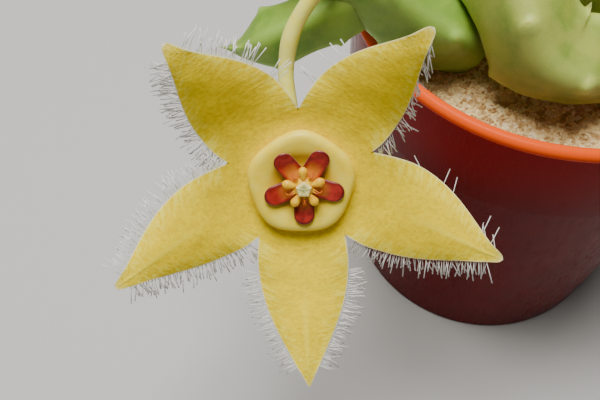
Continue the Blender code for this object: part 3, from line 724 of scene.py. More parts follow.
def pot_plastic(settings):
    """Thin glossy plastic: deep red, orange where light comes through the lip, faintly scuffed"""
    finish = Finish("pot_plastic_skin", 0.22, Specular_IOR_Level=0.05)
    height = finish.height()
    deep = shade(settings.wall_colour, (0.6, 0.6, 0.6))
    wall = finish.tint(settings.wall_colour, finish.noise(9 * MM), 0.3, 0.75, 0.5, deep)
    # Painted light: the wall lightens towards its top, where light from above falls
    wall = finish.tint(wall, height, *WALL_PAINTED_LIGHT_BAND, 0.8, WALL_PAINTED_LIGHT)
    # Painted light and shade: the lip is orange on top, where light comes through, and deeper red below
    lip = finish.tint(LIP_PAINTED_SHADE, height, *LIP_PAINTED_LIGHT_BAND, 1.0, settings.lip_colour)
    scuff = finish.noise(0.9 * MM, 5, (1, 1, 0.25), rough=0.7)
    finish.set(Base_Color=finish.tint(wall, height, *LIP_COLOUR_BAND, 1.0, lip),
               Roughness=finish.band(scuff, 0.35, 0.8, 0.16, 0.42),
               Normal=finish.bump(finish.noise(0.25 * MM, 2), 0.01 * MM))
    return finish.material


def make_pot(settings):
    """The turned pot with its drainage holes"""
    pot = turned("pot_shell", pot_section(settings.lip_radius), settings.steps, pot_plastic(settings))
    cutters = bpy.data.collections.new("drains")
    bpy.context.scene.collection.children.link(cutters)
    for i in range(DRAIN_COUNT):
        bm = bmesh.new()
        place = Matrix.Translation(polar(DRAIN_RING, 2 * math.pi * i / DRAIN_COUNT))
        bmesh.ops.create_cone(bm, cap_ends=True, segments=40, radius1=DRAIN_RADIUS, radius2=DRAIN_RADIUS,
                              depth=DRAIN_CUT, matrix=place)
        cutters.objects.link(bpy.data.objects.new("drain", plain_mesh("drain", bm)))
    cut = pot.modifiers.new("drains", "BOOLEAN")
    cut.operand_type = "COLLECTION"
    cut.collection = cutters
    apply_modifiers(pot)
    pot.data.shade_smooth()
    pot.data.set_sharp_from_angle(angle=math.radians(40))
    for drain in list(cutters.objects):
        bpy.data.objects.remove(drain, do_unlink=True)
    bpy.data.collections.remove(cutters)
    settle(pot, ["pot"])


# What grows or lies by chance

SOCKET_KINDS = {float: "NodeSocketFloat", int: "NodeSocketInt", bpy.types.Material: "NodeSocketMaterial"}


def new_tree(name, inputs):
    """A geometry node tree with named inputs, and what those give"""
    tree = bpy.data.node_groups.new(name, "GeometryNodeTree")
    for way in ("INPUT", "OUTPUT"):
        tree.interface.new_socket("Geometry", in_out=way, socket_type="NodeSocketGeometry")
    for label, value in inputs.items():
        tree.interface.new_socket(label, in_out="INPUT", socket_type=SOCKET_KINDS[type(value)])
    return tree, tree.nodes.new("NodeGroupInput").outputs


def chance(tree, low, high, seed):
    """A number, or a vector, by chance between two for each point"""
    is_vector = isinstance(low, tuple)
    first = 0 if is_vector else 2
    made = node(tree, "FunctionNodeRandomValue", [(first, low), (first + 1, high), ("Seed", seed)],
                data_type="FLOAT_VECTOR" if is_vector else "FLOAT")
    return made.outputs[0 if is_vector else 1]


def scaled(tree, vector, factor):
    """A vector times a number"""
    made = node(tree, "ShaderNodeVectorMath", [(0, vector), ("Scale", factor)], operation="SCALE")
    return made.outputs[0]


def kept_value(tree, name, kind):
    """A value kept at each point of the piece under a name"""
    made = node(tree, "GeometryNodeInputNamedAttribute", [("Name", name)], data_type=kind)
    return made.outputs["Attribute"]


def end_tree(tree, given, copies):
    """Make a tree's copies real, and give them their material"""
    real = node(tree, "GeometryNodeRealizeInstances", [("Geometry", copies.outputs[0])])
    painted = node(tree, "GeometryNodeSetMaterial", [("Geometry", real.outputs[0]),
                                                     ("Material", given["Material"])])
    node(tree, "NodeGroupOutput", [(0, painted.outputs[0])])


def grow(thing, tree, inputs):
    """Run a node tree on a piece, keep the result as its mesh, and remove the modifier"""
    modifier = thing.modifiers.new(tree.name, "NODES")
    modifier.node_group = tree
    for socket in tree.interface.items_tree:
        if socket.name in inputs:
            modifier[socket.identifier] = inputs[socket.name]
    apply_modifiers(thing)


# The sand

def grit_height(x, y):
    """Height of the sand's bumpy top, which is lowest at the wall"""
    middle = 1 - math.hypot(x, y) / LIP_RADIUS
    bumps = noise.noise(Vector((x, y, 0)) / GRIT_BUMP_SIZE)
    return GRIT_LEVEL + GRIT_CROWN * smooth_step(2 * middle) + GRIT_ROUGHNESS * bumps


def sand(settings):
    """Beige to brown grains, each of its own shade"""
    finish = Finish("sand_grains", 0.9, Specular_IOR_Level=0.3)
    patch = finish.patches(0.7 * MM)
    base = finish.tint(settings.dark, patch, 0.0, 0.8, 1.0, settings.light)
    base = finish.tint(base, patch, 0.88, 0.9, 0.7, PALEST_GRAIN)
    base = finish.tint(base, finish.noise(0.25 * MM, 2), 0.4, 0.7, 0.35, settings.dark)
    finish.set(Base_Color=base, Normal=finish.bump(finish.noise(0.12 * MM, 2), 0.03 * MM))
    return finish.material


def grain_tree(inputs):
    """Sand grains strewn over a surface: small rough balls, each turned and sized by chance"""
    tree, given = new_tree("strew_grains", inputs)
    strewn = node(tree, "GeometryNodeDistributePointsOnFaces", [
        ("Mesh", given["Geometry"]), ("Distance Min", given["Spacing"]), ("Density Max", 9e6),
        ("Seed", given["Seed"])], distribute_method="POISSON")
    ball = node(tree, "GeometryNodeMeshIcoSphere", [("Radius", 0.5), ("Subdivisions", 1)])
    turn = chance(tree, (0.0, 0.0, 0.0), (6.28, 6.28, 6.28), given["Seed"])
    size = scaled(tree, chance(tree, (0.55, 0.5, 0.45), (1.25, 1.1, 1.0), 2), given["Grain"])
    grains = node(tree, "GeometryNodeInstanceOnPoints", [
        ("Points", strewn.outputs["Points"]), ("Instance", ball.outputs["Mesh"]), ("Rotation", turn),
        ("Scale", size)])
    end_tree(tree, given, grains)
    return tree


def make_grit(settings):
    """The sand body and the grains on its top, with the stems' places left free"""
    material = sand(settings)
    side = inner_section(GAP)[::-1]
    edge = side[0][0]
    top = [(edge * i / GRIT_RINGS, GRIT_LEVEL) for i in range(GRIT_RINGS + 1)]

    def bumpy(place):
        """Raise a point of the sand's top"""
        if abs(place.z - GRIT_LEVEL) < 0.01 * MM:
            place.z = grit_height(place.x, place.y)
        return place

    bed = turned("grit_bed", top + side, GRIT_SIDES, material, bumpy)
    settle(bed, ["grit"])

    def on_top(reach, turn):
        """Point of the sand's top"""
        x = reach * math.cos(turn)
        y = reach * math.sin(turn)
        return Vector((x, y, grit_height(x, y)))

    shape = Shape()
    rows = []
    for radius, _ in top[1:]:
        reach = min(radius, edge - GRAIN_MARGIN)
        rows.append(shape.ring(GRAIN_SIDES, lambda turn: on_top(reach, turn)))
    for inner, outer in zip(rows, rows[1:]):
        shape.strip(outer, inner)
    grains = shape.piece("grit_grains", material)
    clear_of_stems(grains)
    inputs = {"Grain": settings.grain, "Spacing": settings.spacing, "Seed": settings.seed,
              "Material": material}
    grow(grains, grain_tree(inputs), inputs)
    settle(grains, [])


def clear_of_stems(grains):
    """Take away the faces that the stems' roots come through"""
    bm = bmesh.new()
    bm.from_mesh(grains.data)
    for plant in STEMS.values():
        root = plant.path[0].xy
        reach = plant.radius * ROOT_SHARE
        near = [face for face in bm.faces if (face.calc_center_median().xy - root).length < reach]
        bmesh.ops.delete(bm, geom=near, context="FACES")
    bm.to_mesh(grains.data)
    bm.free()


# The stems

def stem_radius(plant, pitch, to_tip, to_root, turn, has_root):
    """Skin's distance from the stem's middle, a tooth's height, and how near this is to an angle"""
    radius = plant.radius * FACE_SHARE
    tooth = 0.0
    ridge = 0.0
    for k in range(4):
        gap = turn_between(k * math.pi / 2, turn)
        closeness = math.exp(-(gap / ANGLE_SPREAD) ** 2)
        off = math.remainder(to_tip - (k % 2) * pitch / 2, pitch)
        bump = math.exp(-(off / (TUBERCLE_SPREAD * pitch)) ** 2)
        radius += closeness * (plant.radius * (1 - FACE_SHARE) + plant.tubercle * bump)
        ridge = max(ridge, closeness)
        far = math.hypot(off / (TOOTH_SPREAD * pitch), gap / TOOTH_HALF_WIDTH)
        tooth = max(tooth, max(0.0, 1 - far) ** TOOTH_SHARPNESS)
    near = min(1.0, to_tip / plant.tip)
    dome = math.sqrt(near * (2 - near)) if has_root else max(smooth_step(near), near * SHOOT_POINT)
    if has_root:
        above = smooth_step((to_root - plant.root) / ROOT_BLEND)
        radius = plant.radius * ROOT_SHARE + above * (radius - plant.radius * ROOT_SHARE)
        tooth *= above
    return radius * dome, tooth * min(1.0, dome * 1.5), ridge


def add_stem(shape, plant, settings, has_root=True):
    """Add one stem's skin to a shape, from its tip down"""
    route = Route(plant.path)
    pitch = route.total / round(route.total / TOOTH_PITCH * 4) * 4
    count = round(route.total / settings.ring_pitch)
    rows = []
    for i in range(count):
        to_tip = max(route.total * i / count, LEAST_TO_TIP)
        to_root = route.total - to_tip
        place, ahead, side = route.at(to_root)
        row = []
        for k in range(settings.sides):
            turn = 2 * math.pi * k / settings.sides
            radius, tooth, ridge = stem_radius(plant, pitch, to_tip, to_root, turn, has_root)
            out = side * math.cos(turn + plant.turn) + ahead.cross(side) * math.sin(turn + plant.turn)
            point = place + out * (radius + tooth * plant.tooth) + ahead * tooth * plant.tooth
            row.append(shape.point(point, tooth=tooth, ridge=ridge))
        rows.append(row)
    shape.tube(rows, shape.point(plant.path[-1].copy()), shape.point(place))


def skin(name, base, settings):
    """Waxy stem skin: paler on the angles, cloudy, finely dotted, with tan tips on the teeth"""
    finish = Finish(name, 0.5, Specular_IOR_Level=0.3)
    pale = shade(base, (1.3, 1.3, 1.3), 0.03)
    tooth = finish.attribute("tooth")
    body = finish.tint(base, finish.noise(4.5 * MM), 0.35, 0.7, 1.0, shade(base, (0.55, 0.72, 0.55)))
    body = finish.tint(body, finish.noise(9 * MM, 2), 0.5, 0.75, 0.5, shade(base, (1.5, 1.2, 1.0)))
    body = finish.tint(body, finish.attribute("ridge"), 0.45, 1.0, 0.55, pale)
    body = finish.tint(body, finish.cells(0.5 * MM), 0.22, 0.10, 0.22, shade(base, (1.8, 1.8, 1.8), 0.05))
    body = finish.tint(body, tooth, 0.02, 0.35, 0.6, pale)
    body = finish.tint(body, tooth, 0.70, 0.95, 1.0, settings.tan)
    grain = finish.bump(finish.cells(0.35 * MM), 0.012 * MM)
    finish.set(Base_Color=body, Roughness=finish.band(finish.noise(1.6 * MM), 0.3, 0.8, 0.42, 0.62),
               Normal=finish.bump(finish.noise(1.8 * MM), 0.06 * MM, grain))
    finish.soften(0.30, 2.5 * MM, (0.5, 1.0, 0.2))
    return finish.material


def make_stems(settings):
    """Every stem of the clump, the left one with its young shoot"""
    green = skin("stem_green_skin", settings.green, settings)
    pale = skin("stem_pale_skin", settings.pale, settings)
    for name, plant in STEMS.items():
        shape = Shape("tooth", "ridge")
        add_stem(shape, plant, settings)
        if name == "stem_left":
            add_stem(shape, YOUNG_SHOOT, settings, has_root=False)
        is_pale = name == "stem_front"
        thing = shape.piece(name + "_skin", pale if is_pale else green)
        settle(thing, [name])


# The corolla

def lobe_half_width(lobe, share):
    """Half width of a lobe at a share of its length"""
    past = (share - WIDEST_SHARE) / (1 - WIDEST_SHARE)
    half = lobe.half_width * max(0.0, math.cos(past * math.pi / 2)) ** TIP_TAPER
    nib = lobe.nib * math.sqrt(max(0.0, 1 - ((share - NIB_SHARE) / (1 - NIB_SHARE)) ** 2))
    return (half ** NIB_BLEND + nib ** NIB_BLEND) ** (1 / NIB_BLEND)


def lobe_middle(lobe, before, after, share):
    """Midline of a lobe, which starts between its two notches and bends to its tip"""
    start = (before.heading + after.heading) / 2
    knee = polar(lobe.reach * KNEE_SHARE, start)
    tip = polar(lobe.reach, lobe.heading)
    return knee * 2 * share * (1 - share) + tip * share ** 2


def margin(lobe, before, after, share, side):
    """Point of a lobe's margin, on its left (1) or right (-1), at a share of its length"""
    ahead = (lobe_middle(lobe, before, after, min(1.0, share + MARGIN_STEP))
             - lobe_middle(lobe, before, after, share - MARGIN_STEP))
    across = Vector((-ahead.y, ahead.x, 0)).normalized()
    return lobe_middle(lobe, before, after, share) + across * side * lobe_half_width(lobe, share)


def lobe_neighbours(i):
    """A lobe with the notches on its right and left, their headings in order"""
    after = NOTCHES[i]
    before = NOTCHES[i - 1]
    if before.heading > after.heading:
        before = Notch(before.reach, before.heading - 2 * math.pi)
    return LOBES[i], before, after


def lobe_point(i, across, along):
    """Point of the corolla's face: across runs from -1 to 1 and along from the middle to the tip"""
    lobe, before, after = lobe_neighbours(i)
    notch = {1: polar(after.reach, after.heading), -1: polar(before.reach, before.heading)}
    past = max(0.0, (along - NOTCH_SHARE) / (1 - NOTCH_SHARE))
    ends = {}
    for side in (-1, 1):
        if along <= NOTCH_SHARE:
            ends[side] = notch[side] * (along / NOTCH_SHARE)
        else:
            drift = notch[side] - margin(lobe, before, after, NOTCH_SHARE, side)
            ends[side] = margin(lobe, before, after, along, side) + drift * (1 - past) ** NOTCH_EASE
    middle = lobe_middle(lobe, before, after, along)
    half = (ends[1] - ends[-1]) / 2
    bow = (ends[1] + ends[-1]) / 2 - middle
    point = middle + half * across + bow * across ** 2
    reach = SEAM_REACH + (lobe.reach - SEAM_REACH) * smooth_step(past / SEAM_EASE)
    rise = LOBE_RISE * smooth_step((point.length - FLAT_RADIUS) / (reach - FLAT_RADIUS)) ** LOBE_RISE_BEND
    arch = LOBE_ARCH * math.sin(math.pi * min(1.0, past * ARCH_STRETCH + ARCH_START))
    point.z = rise - arch * across ** 2 * smooth_step(past / ARCH_EASE)
    return point


def flesh_depth(across, along):
    """Thickness of the corolla: full in the middle, rounding off to nothing at the margins and tips"""
    rim = abs(across)
    if along < NOTCH_SHARE:
        rim *= (along / NOTCH_SHARE) ** 3
    return COROLLA_THICKNESS * math.sqrt(max(0.0, 1 - rim ** 6)) * math.sqrt(max(0.0, 1 - along ** 10))


def keel(lobe, across, along):
    """Height of the low fold along a lobe's middle, which only its outer half has"""
    ends = smooth_step((along - 0.5) / 0.3) * smooth_step((1 - along) / 0.1)
    return lobe.keel * math.exp(-(across / KEEL_WIDTH) ** 2) * ends


def add_lobe_face(shape, i, is_back, settings):
    """Add the front or back of one lobe to a shape"""
    lobe = LOBES[i]
    rows = []
    for r in range(settings.rows + 1):
        along = r / settings.rows
        width = (lobe_point(i, 1.0, along) - lobe_point(i, -1.0, along)).length
        row = []
        for c in range(settings.columns + 1):
            across = math.sin(math.pi / 2 * (2 * c / settings.columns - 1))
            place = lobe_point(i, across, along)
            wave = noise.noise(place / WAVE_SIZE) * WAVE_HEIGHT * (1 - abs(across) ** 4)
            lift = wave * smooth_step(along / 0.4) + keel(lobe, across, along)
            place.z += -flesh_depth(across, along) if is_back else lift
            inset = (1 - abs(across)) * width / 2 / MM if along > NOTCH_SHARE else INNER_INSET
            inset = min(inset, (1 - along) * lobe.reach / MM)
            fold = math.exp(-(across / KEEL_LINE) ** 2) if lobe.keel else 0.0
            row.append(shape.point(FLOWER @ place, inset=inset, along=along, across=across, mid=fold,
                                   lobe=float(i), back=float(is_back)))
        rows.append(row)
    for inner, outer in zip(rows, rows[1:]):
        shape.strip(*((inner, outer) if is_back else (outer, inner)), closed=False)


def petal(settings):
    """Fleshy yellow: faint deeper clouds, fine cross streaks, a pale thin edge line and pale tips"""
    finish = Finish("petal_flesh", 0.65, Specular_IOR_Level=0.05)
    inset = finish.attribute("inset")
    along = finish.attribute("along")
    place = finish.add("ShaderNodeCombineXYZ", [(0, finish.attribute("across")), (1, along),
                                                (2, finish.attribute("lobe"))])
    streaks = finish.noise(1.0, 4, (3.0, 60.0, 7.0), place.outputs[0], rough=0.65)
    specks = finish.noise(0.55 * MM)
    base = finish.tint(settings.yellow, finish.noise(3.2 * MM), 0.3, 0.7, 0.55, settings.gold)
    base = finish.tint(base, streaks, 0.45, 0.70, 0.55, settings.lemon)
    base = finish.tint(base, specks, 0.45, 0.65, 0.25, settings.lemon)
    base = finish.tint(base, specks, 0.52, 0.34, 0.75, settings.gold)
    wrinkles = finish.product(finish.band(inset, 2.8, 0.2), finish.band(streaks, 0.42, 0.62, 0.0, 0.9))
    base = finish.mix(wrinkles, base, MARGIN_CREAM)
    fold = finish.product(finish.attribute("mid"), finish.band(along, 0.4, 0.8, 0.0, 0.6))
    base = finish.mix(fold, base, MIDDLE_CREAM)
    base = finish.tint(base, along, 0.93, 0.985, 0.5, TIP_GREEN)
    base = finish.tint(base, along, 0.98, 0.995, 0.8, TIP_WHITE)
    base = finish.tint(base, inset, 0.15, 0.08, 0.8, EDGE_CREAM)
    base = finish.mix(finish.product(finish.attribute("back"), 0.55), base, BACK_GREEN)
    fine = finish.bump(finish.noise(0.3 * MM), 0.04 * MM)
    folds = finish.bump(streaks, 0.08 * MM, fine)
    finish.set(Base_Color=base, Normal=finish.bump(finish.noise(1.5 * MM), 0.10 * MM, folds))
    finish.soften(0.08, 0.8 * MM, (1.0, 0.85, 0.1))
    return finish.material


def make_corolla(settings):
    """The fleshy five-lobed star"""
    shape = Shape("inset", "along", "across", "mid", "lobe", "back")
    for i in range(len(LOBES)):
        for is_back in (False, True):
            add_lobe_face(shape, i, is_back, settings)
    settle(shape.piece("corolla_star", petal(settings), STAR_WELD), ["corolla"])


# The fringe

def hair_white(settings):
    """White, slightly see-through hairs"""
    finish = Finish("hair_white", 0.35, Specular_IOR_Level=0.5)
    finish.set(Base_Color=finish.mix(finish.noise(2 * MM, 1), settings.white, HAIR_GLINT),
               Transmission_Weight=0.1)
    return finish.material


def hair_tree(inputs):
    """Hairs along guide lines: thin rods that thicken to their ends, tilted and sized by chance"""
    tree, given = new_tree("fringe", inputs)
    curve = node(tree, "GeometryNodeMeshToCurve", [("Mesh", given["Geometry"])])
    spaced = node(tree, "GeometryNodeResampleCurve", [("Curve", curve.outputs[0]),
                                                      ("Length", given["Spacing"])], mode="LENGTH")
    kept = node(tree, "FunctionNodeCompare", [(0, chance(tree, 0.0, 1.0, given["Seed"])),
                                              (1, kept_value(tree, "density", "FLOAT"))],
                data_type="FLOAT", operation="LESS_THAN")
    stray = scaled(tree, chance(tree, (-1.0, -1.0, -1.0), (1.0, 1.0, 1.0), 3), given["Spread"])
    aim = node(tree, "ShaderNodeVectorMath", [(0, kept_value(tree, "out", "FLOAT_VECTOR")), (1, stray)],
               operation="ADD")
    turn = node(tree, "FunctionNodeAlignRotationToVector", [("Vector", aim.outputs[0])], axis="Z")
    rod = node(tree, "GeometryNodeMeshCone", [("Vertices", 5), ("Side Segments", 2), ("Radius Top", 1.2),
                                              ("Radius Bottom", 0.55), ("Depth", 1.0)],
               fill_type="TRIANGLE_FAN")
    height = node(tree, "ShaderNodeMath", [(0, chance(tree, 0.62, 1.12, 5)), (1, given["Length"])],
                  operation="MULTIPLY")
    size = node(tree, "ShaderNodeCombineXYZ", [(0, given["Thickness"]), (1, given["Thickness"]),
                                               (2, height.outputs[0])])
    hairs = node(tree, "GeometryNodeInstanceOnPoints", [
        ("Points", spaced.outputs[0]), ("Selection", kept.outputs[0]), ("Instance", rod.outputs["Mesh"]),
        ("Rotation", turn.outputs[0]), ("Scale", size.outputs[0])])
    end_tree(tree, given, hairs)
    return tree


def make_fringe(settings):
    """The white hairs along the lobes' margins"""
    points = []
    edges = []
    outs = []
    densities = []
    turn = FLOWER.to_3x3()
    for line in FRINGE:
        for k in range(FRINGE_SAMPLES):
            past = line.start + (line.end - line.start) * k / (FRINGE_SAMPLES - 1)
            along = NOTCH_SHARE + (1 - NOTCH_SHARE) * past
            root = lobe_point(line.lobe, line.side * HAIR_ROOT, along)
            ahead = lobe_point(line.lobe, line.side * HAIR_ROOT, along + 0.01) - root
            out = Vector((-ahead.y, ahead.x, 0)).normalized() * line.side
            out = (out + Vector((0, 0, line.slope)) - ahead.normalized() * line.sweep).normalized()
            root.z -= HAIR_ROOT_DEPTH * flesh_depth(0.9, along)
            if k:
                edges.append((len(points) - 1, len(points)))
            points.append(FLOWER @ root)
            outs.extend(turn @ out)
            densities.append(line.density)
    mesh = bpy.data.meshes.new("corolla_fringe")
    mesh.from_pydata(points, edges, [])
    mesh.attributes.new("out", "FLOAT_VECTOR", "POINT").data.foreach_set("vector", outs)
    mesh.attributes.new("density", "FLOAT", "POINT").data.foreach_set("value", densities)
    fringe = placed("corolla_fringe", mesh)
    inputs = {"Length": settings.length, "Thickness": settings.thickness, "Spacing": settings.spacing,
              "Spread": settings.spread, "Seed": settings.seed, "Material": hair_white(settings)}
    grow(fringe, hair_tree(inputs), inputs)
    fringe.data.shade_smooth()
    settle(fringe, ["corolla"])


# The ring

def smooth_section(guide, pieces):
    """A section in metres, smoothed through guide points in millimetres"""
    points = [Vector((radius, 0, height)) * MM for radius, height in guide]
    places = Route(points, pieces).places
    section = [(max(0.0, place.x), place.z) for place in places]
    section[0] = (0, section[0][1])
    section[-1] = (0, section[-1][1])
    return section


def ring_cream(settings):
    """Smooth waxy cream, deeper in the bowl"""
    finish = Finish("ring_cream", 0.4, Specular_IOR_Level=0.4)
    base = finish.tint(settings.cream, finish.noise(1.6 * MM), 0.35, 0.7, 1.0, RING_LIGHT)
    from_middle = finish.add("ShaderNodeVectorMath", [
        (0, finish.object_place), (1, FLOWER @ Vector((0, 0, BOWL_MIDDLE)))], operation="DISTANCE")
    # Painted shade: gold deepens towards the bowl's middle
    finish.set(Base_Color=finish.tint(base, from_middle.outputs["Value"], *BOWL_SHADE_BAND, 0.9, BOWL_PAINTED_SHADE),
               Normal=finish.bump(finish.noise(0.5 * MM, 2), 0.02 * MM))
    finish.soften(0.15, 0.8 * MM, (1.0, 0.85, 0.3))
    return finish.material


def make_annulus(settings):
    """The raised cream ring: rounded rim, faintly five-sided, with a shallow bowl inside"""

    def shaped(place):
        """Draw a round point in to the ring's five-sided outline, and place it on the flower"""
        turn = math.atan2(place.y, place.x)
        reach = place.xy.length
        five = math.cos(5 * (turn - math.pi / 2)) - 0.7
        push = 1 + RING_DRAW * smooth_step((reach / MM - 3.5) / 2) * five
        return FLOWER @ Vector((place.x * push, place.y * push, place.z))

    ring = turned("annulus_ring", smooth_section(RING_GUIDE, 6), RING_SIDES, ring_cream(settings), shaped)
    settle(ring, ["annulus"])


# The crowns and the head

def corona_edge(turn):
    """Distance of the outer crown's edge in one direction: straight fingers with round ends"""
    edge = CORONA_CORE
    for heading in CORONA_HEADINGS:
        gap = abs(turn_between(heading, turn))
        if gap > math.pi / 2:
            continue
        ahead = FINGER_REACH * math.cos(gap)
        beside = FINGER_REACH * math.sin(gap)
        if beside > FINGER_RADIUS * math.cos(gap):
            edge = max(edge, FINGER_RADIUS / math.sin(gap))
        else:
            edge = max(edge, ahead + math.sqrt(FINGER_RADIUS ** 2 - beside ** 2))
    return edge


def add_crown_point(shape, turn, share, is_under):
    """Add a point of the outer crown, at a share of the way from its middle to its edge"""
    reach = corona_edge(turn) * share
    aside = min((turn_between(heading, turn) for heading in CORONA_HEADINGS), key=abs)
    aside = abs(reach * math.sin(aside)) / FINGER_RADIUS
    rim = max(share ** 6, min(1.0, aside) ** 3 if reach > CORONA_CORE else 0.0)
    lift = CORONA_LIFT * (reach / (FINGER_REACH + FINGER_RADIUS)) ** 2
    half = CORONA_THICKNESS / 2 * math.sqrt(max(0.0, 1 - share ** 8))
    hollow = CORONA_HOLLOW * (1 - rim) * smooth_step((reach - 1.2 * MM) / MM)
    middle = CORONA_LEVEL + lift - CORONA_THICKNESS / 2
    level = middle - half if is_under else middle + half - hollow
    return shape.point(CROWN @ polar(reach, turn, level), rim=rim, reach=reach / MM)


def crown_maroon(settings):
    """Satin maroon, orange towards the fingers' roots, with a dark rim and a paler edge"""
    finish = Finish("crown_maroon", 0.3, Specular_IOR_Level=0.5)
    rim = finish.attribute("rim")
    dark = shade(settings.maroon, (0.55, 0.55, 0.55))
    base = finish.tint(settings.maroon, finish.noise(0.7 * MM), 0.35, 0.7, 1.0, dark)
    root = finish.product(finish.band(finish.attribute("reach"), 3.5, 1.9), finish.band(rim, 0.55, 0.05))
    base = finish.mix(root, base, CROWN_ROOT)
    base = finish.tint(base, rim, 0.55, 0.8, 0.8, CROWN_DARK_RIM)
    base = finish.tint(base, rim, 0.93, 0.99, 0.9, CROWN_EDGE)
    finish.set(Base_Color=base, Normal=finish.bump(finish.noise(0.25 * MM, 2), 0.015 * MM))
    finish.soften(0.15, 0.5 * MM)
    return finish.material


def make_corona_outer(settings):
    """The maroon outer crown: five blunt fingers, hollow towards their roots, with a raised dark edge"""
    levels = [(s / CORONA_RINGS, False) for s in range(1, CORONA_RINGS + 1)]
    levels += [(1 - s / CORONA_RINGS, True) for s in range(1, CORONA_RINGS)]
    turns = [2 * math.pi * i / CORONA_SIDES for i in range(CORONA_SIDES)]
    shape = Shape("rim", "reach")
    rows = [[add_crown_point(shape, turn, share, is_under) for turn in turns] for share, is_under in levels]
    top = shape.point(CROWN @ Vector((0, 0, CORONA_LEVEL)))
    bottom = shape.point(CROWN @ Vector((0, 0, CORONA_LEVEL - CORONA_THICKNESS)))
    shape.tube(rows, top, bottom)
    crown = shape.piece("corona_outer_fingers", crown_maroon(settings))
    settle(crown, ["corona_outer"])


def add_egg(bm, heading):
    """A plump inner lobe, widest towards its outer end"""
    place = Matrix.Translation(polar(EGG_RING, heading, EGG_LEVEL))
    made = bmesh.ops.create_uvsphere(bm, u_segments=28, v_segments=18, radius=1.0)
    for vertex in made["verts"]:
        x, y, z = vertex.co
        width = 0.72 + 0.34 * smooth_step((x + 0.6) / 1.2)
        co = Vector((x * EGG_HALF_SIZE.x, y * EGG_HALF_SIZE.y * width, z * EGG_HALF_SIZE.z * width))
        vertex.co = CROWN @ place @ Matrix.Rotation(heading, 4, "Z") @ co


def add_thread(bm, heading, side):
    """A short curled orange thread between two inner lobes"""
    points = [polar(reach * MM, heading + side * aside, level * MM) for reach, aside, level in THREAD_GUIDE]
    places = Route(points, 5).places
    for first, second in zip(places, places[1:]):
        turn = (second - first).to_track_quat("Z", "Y").to_matrix().to_4x4()
        bmesh.ops.create_cone(bm, cap_ends=True, segments=8, radius1=THREAD_RADIUS, radius2=THREAD_RADIUS,
                              depth=(second - first).length * 1.25,
                              matrix=CROWN @ Matrix.Translation((first + second) / 2) @ turn)


def mark_threads(mesh):
    """Keep at each point whether it is on a thread, which stand between the plump lobes"""
    marks = []
    back = CROWN.inverted()
    for vertex in mesh.vertices:
        place = back @ vertex.co
        turn = math.atan2(place.y, place.x)
        off = min(abs(turn_between(heading, turn)) for heading in INNER_HEADINGS)
        marks.append(1.0 if off > THREAD_CLEAR and place.xy.length > THREAD_START else 0.0)
    mesh.attributes.new("thread", "FLOAT", "POINT").data.foreach_set("value", marks)


def crown_orange(settings):
    """Satin orange with yellow patches, and red threads"""
    finish = Finish("crown_orange", 0.3, Specular_IOR_Level=0.5)
    base = finish.tint(settings.orange, finish.noise(0.6 * MM, 2), 0.35, 0.7, 1.0, INNER_DEEP)
    base = finish.tint(base, finish.noise(0.9 * MM, 2), 0.5, 0.7, 0.7, INNER_LIGHT)
    finish.set(Base_Color=finish.mix(finish.attribute("thread"), base, THREAD_RED))
    finish.soften(0.12, 0.5 * MM, (1.0, 0.6, 0.2))
    return finish.material


def make_corona_inner(settings):
    """The inner crown: five plump lobes on a small ring, with short threads between them"""
    bm = bmesh.new()
    bmesh.ops.create_cone(bm, cap_ends=True, segments=40, radius1=INNER_RING_FOOT, radius2=INNER_RING_TOP,
                          depth=INNER_RING_HEIGHT,
                          matrix=CROWN @ Matrix.Translation((0, 0, INNER_RING_LEVEL)))
    for heading in INNER_HEADINGS:
        add_egg(bm, heading)
        for side in (-1, 1):
            add_thread(bm, heading + side * THREAD_ASIDE, side)
    mesh = plain_mesh("corona_inner_lobes", bm)
    mark_threads(mesh)
    mesh.materials.append(crown_orange(settings))
    mesh.shade_smooth()
    settle(placed("corona_inner_lobes", mesh), ["corona_inner"])


def make_style_head(settings):
    """The pale five-sided head, with a low rib to each corner and a green middle"""
    shape = Shape("reach")
    half_side = math.radians(36)

    def head_point(radius, height, turn):
        """Point of the head's skin"""
        off = math.remainder(turn - HEAD_TURN, 2 * half_side)
        corner = 1 / math.cos(half_side - abs(off)) * math.cos(half_side)
        rib = 0.07 * math.exp(-(off / 0.16) ** 2) if height > 3.3 else 0.0
        return CROWN @ polar(radius * (corner + 0.12) * MM, turn, (height + rib) * MM)

    rows = []
    for radius, height in HEAD_SECTION:
        rows.append(shape.ring(HEAD_SIDES, lambda turn: head_point(radius, height, turn), reach=radius))
    top = shape.point(CROWN @ Vector((0, 0, HEAD_TOP)))
    bottom = shape.point(CROWN @ Vector((0, 0, HEAD_FOOT)), reach=0.9)
    shape.tube(rows, top, bottom)
    finish = Finish("style_pale", 0.45)
    base = finish.tint(HEAD_GREEN, finish.attribute("reach"), 0.1, 0.7, 1.0, HEAD_CREAM)
    finish.set(Base_Color=finish.tint(base, finish.noise(0.3 * MM, 2), 0.4, 0.7, 0.5, HEAD_LIGHT))
    finish.soften(0.3, 0.4 * MM)
    settle(shape.piece("style_head_cap", finish.material), ["style_head"])


# The stalk

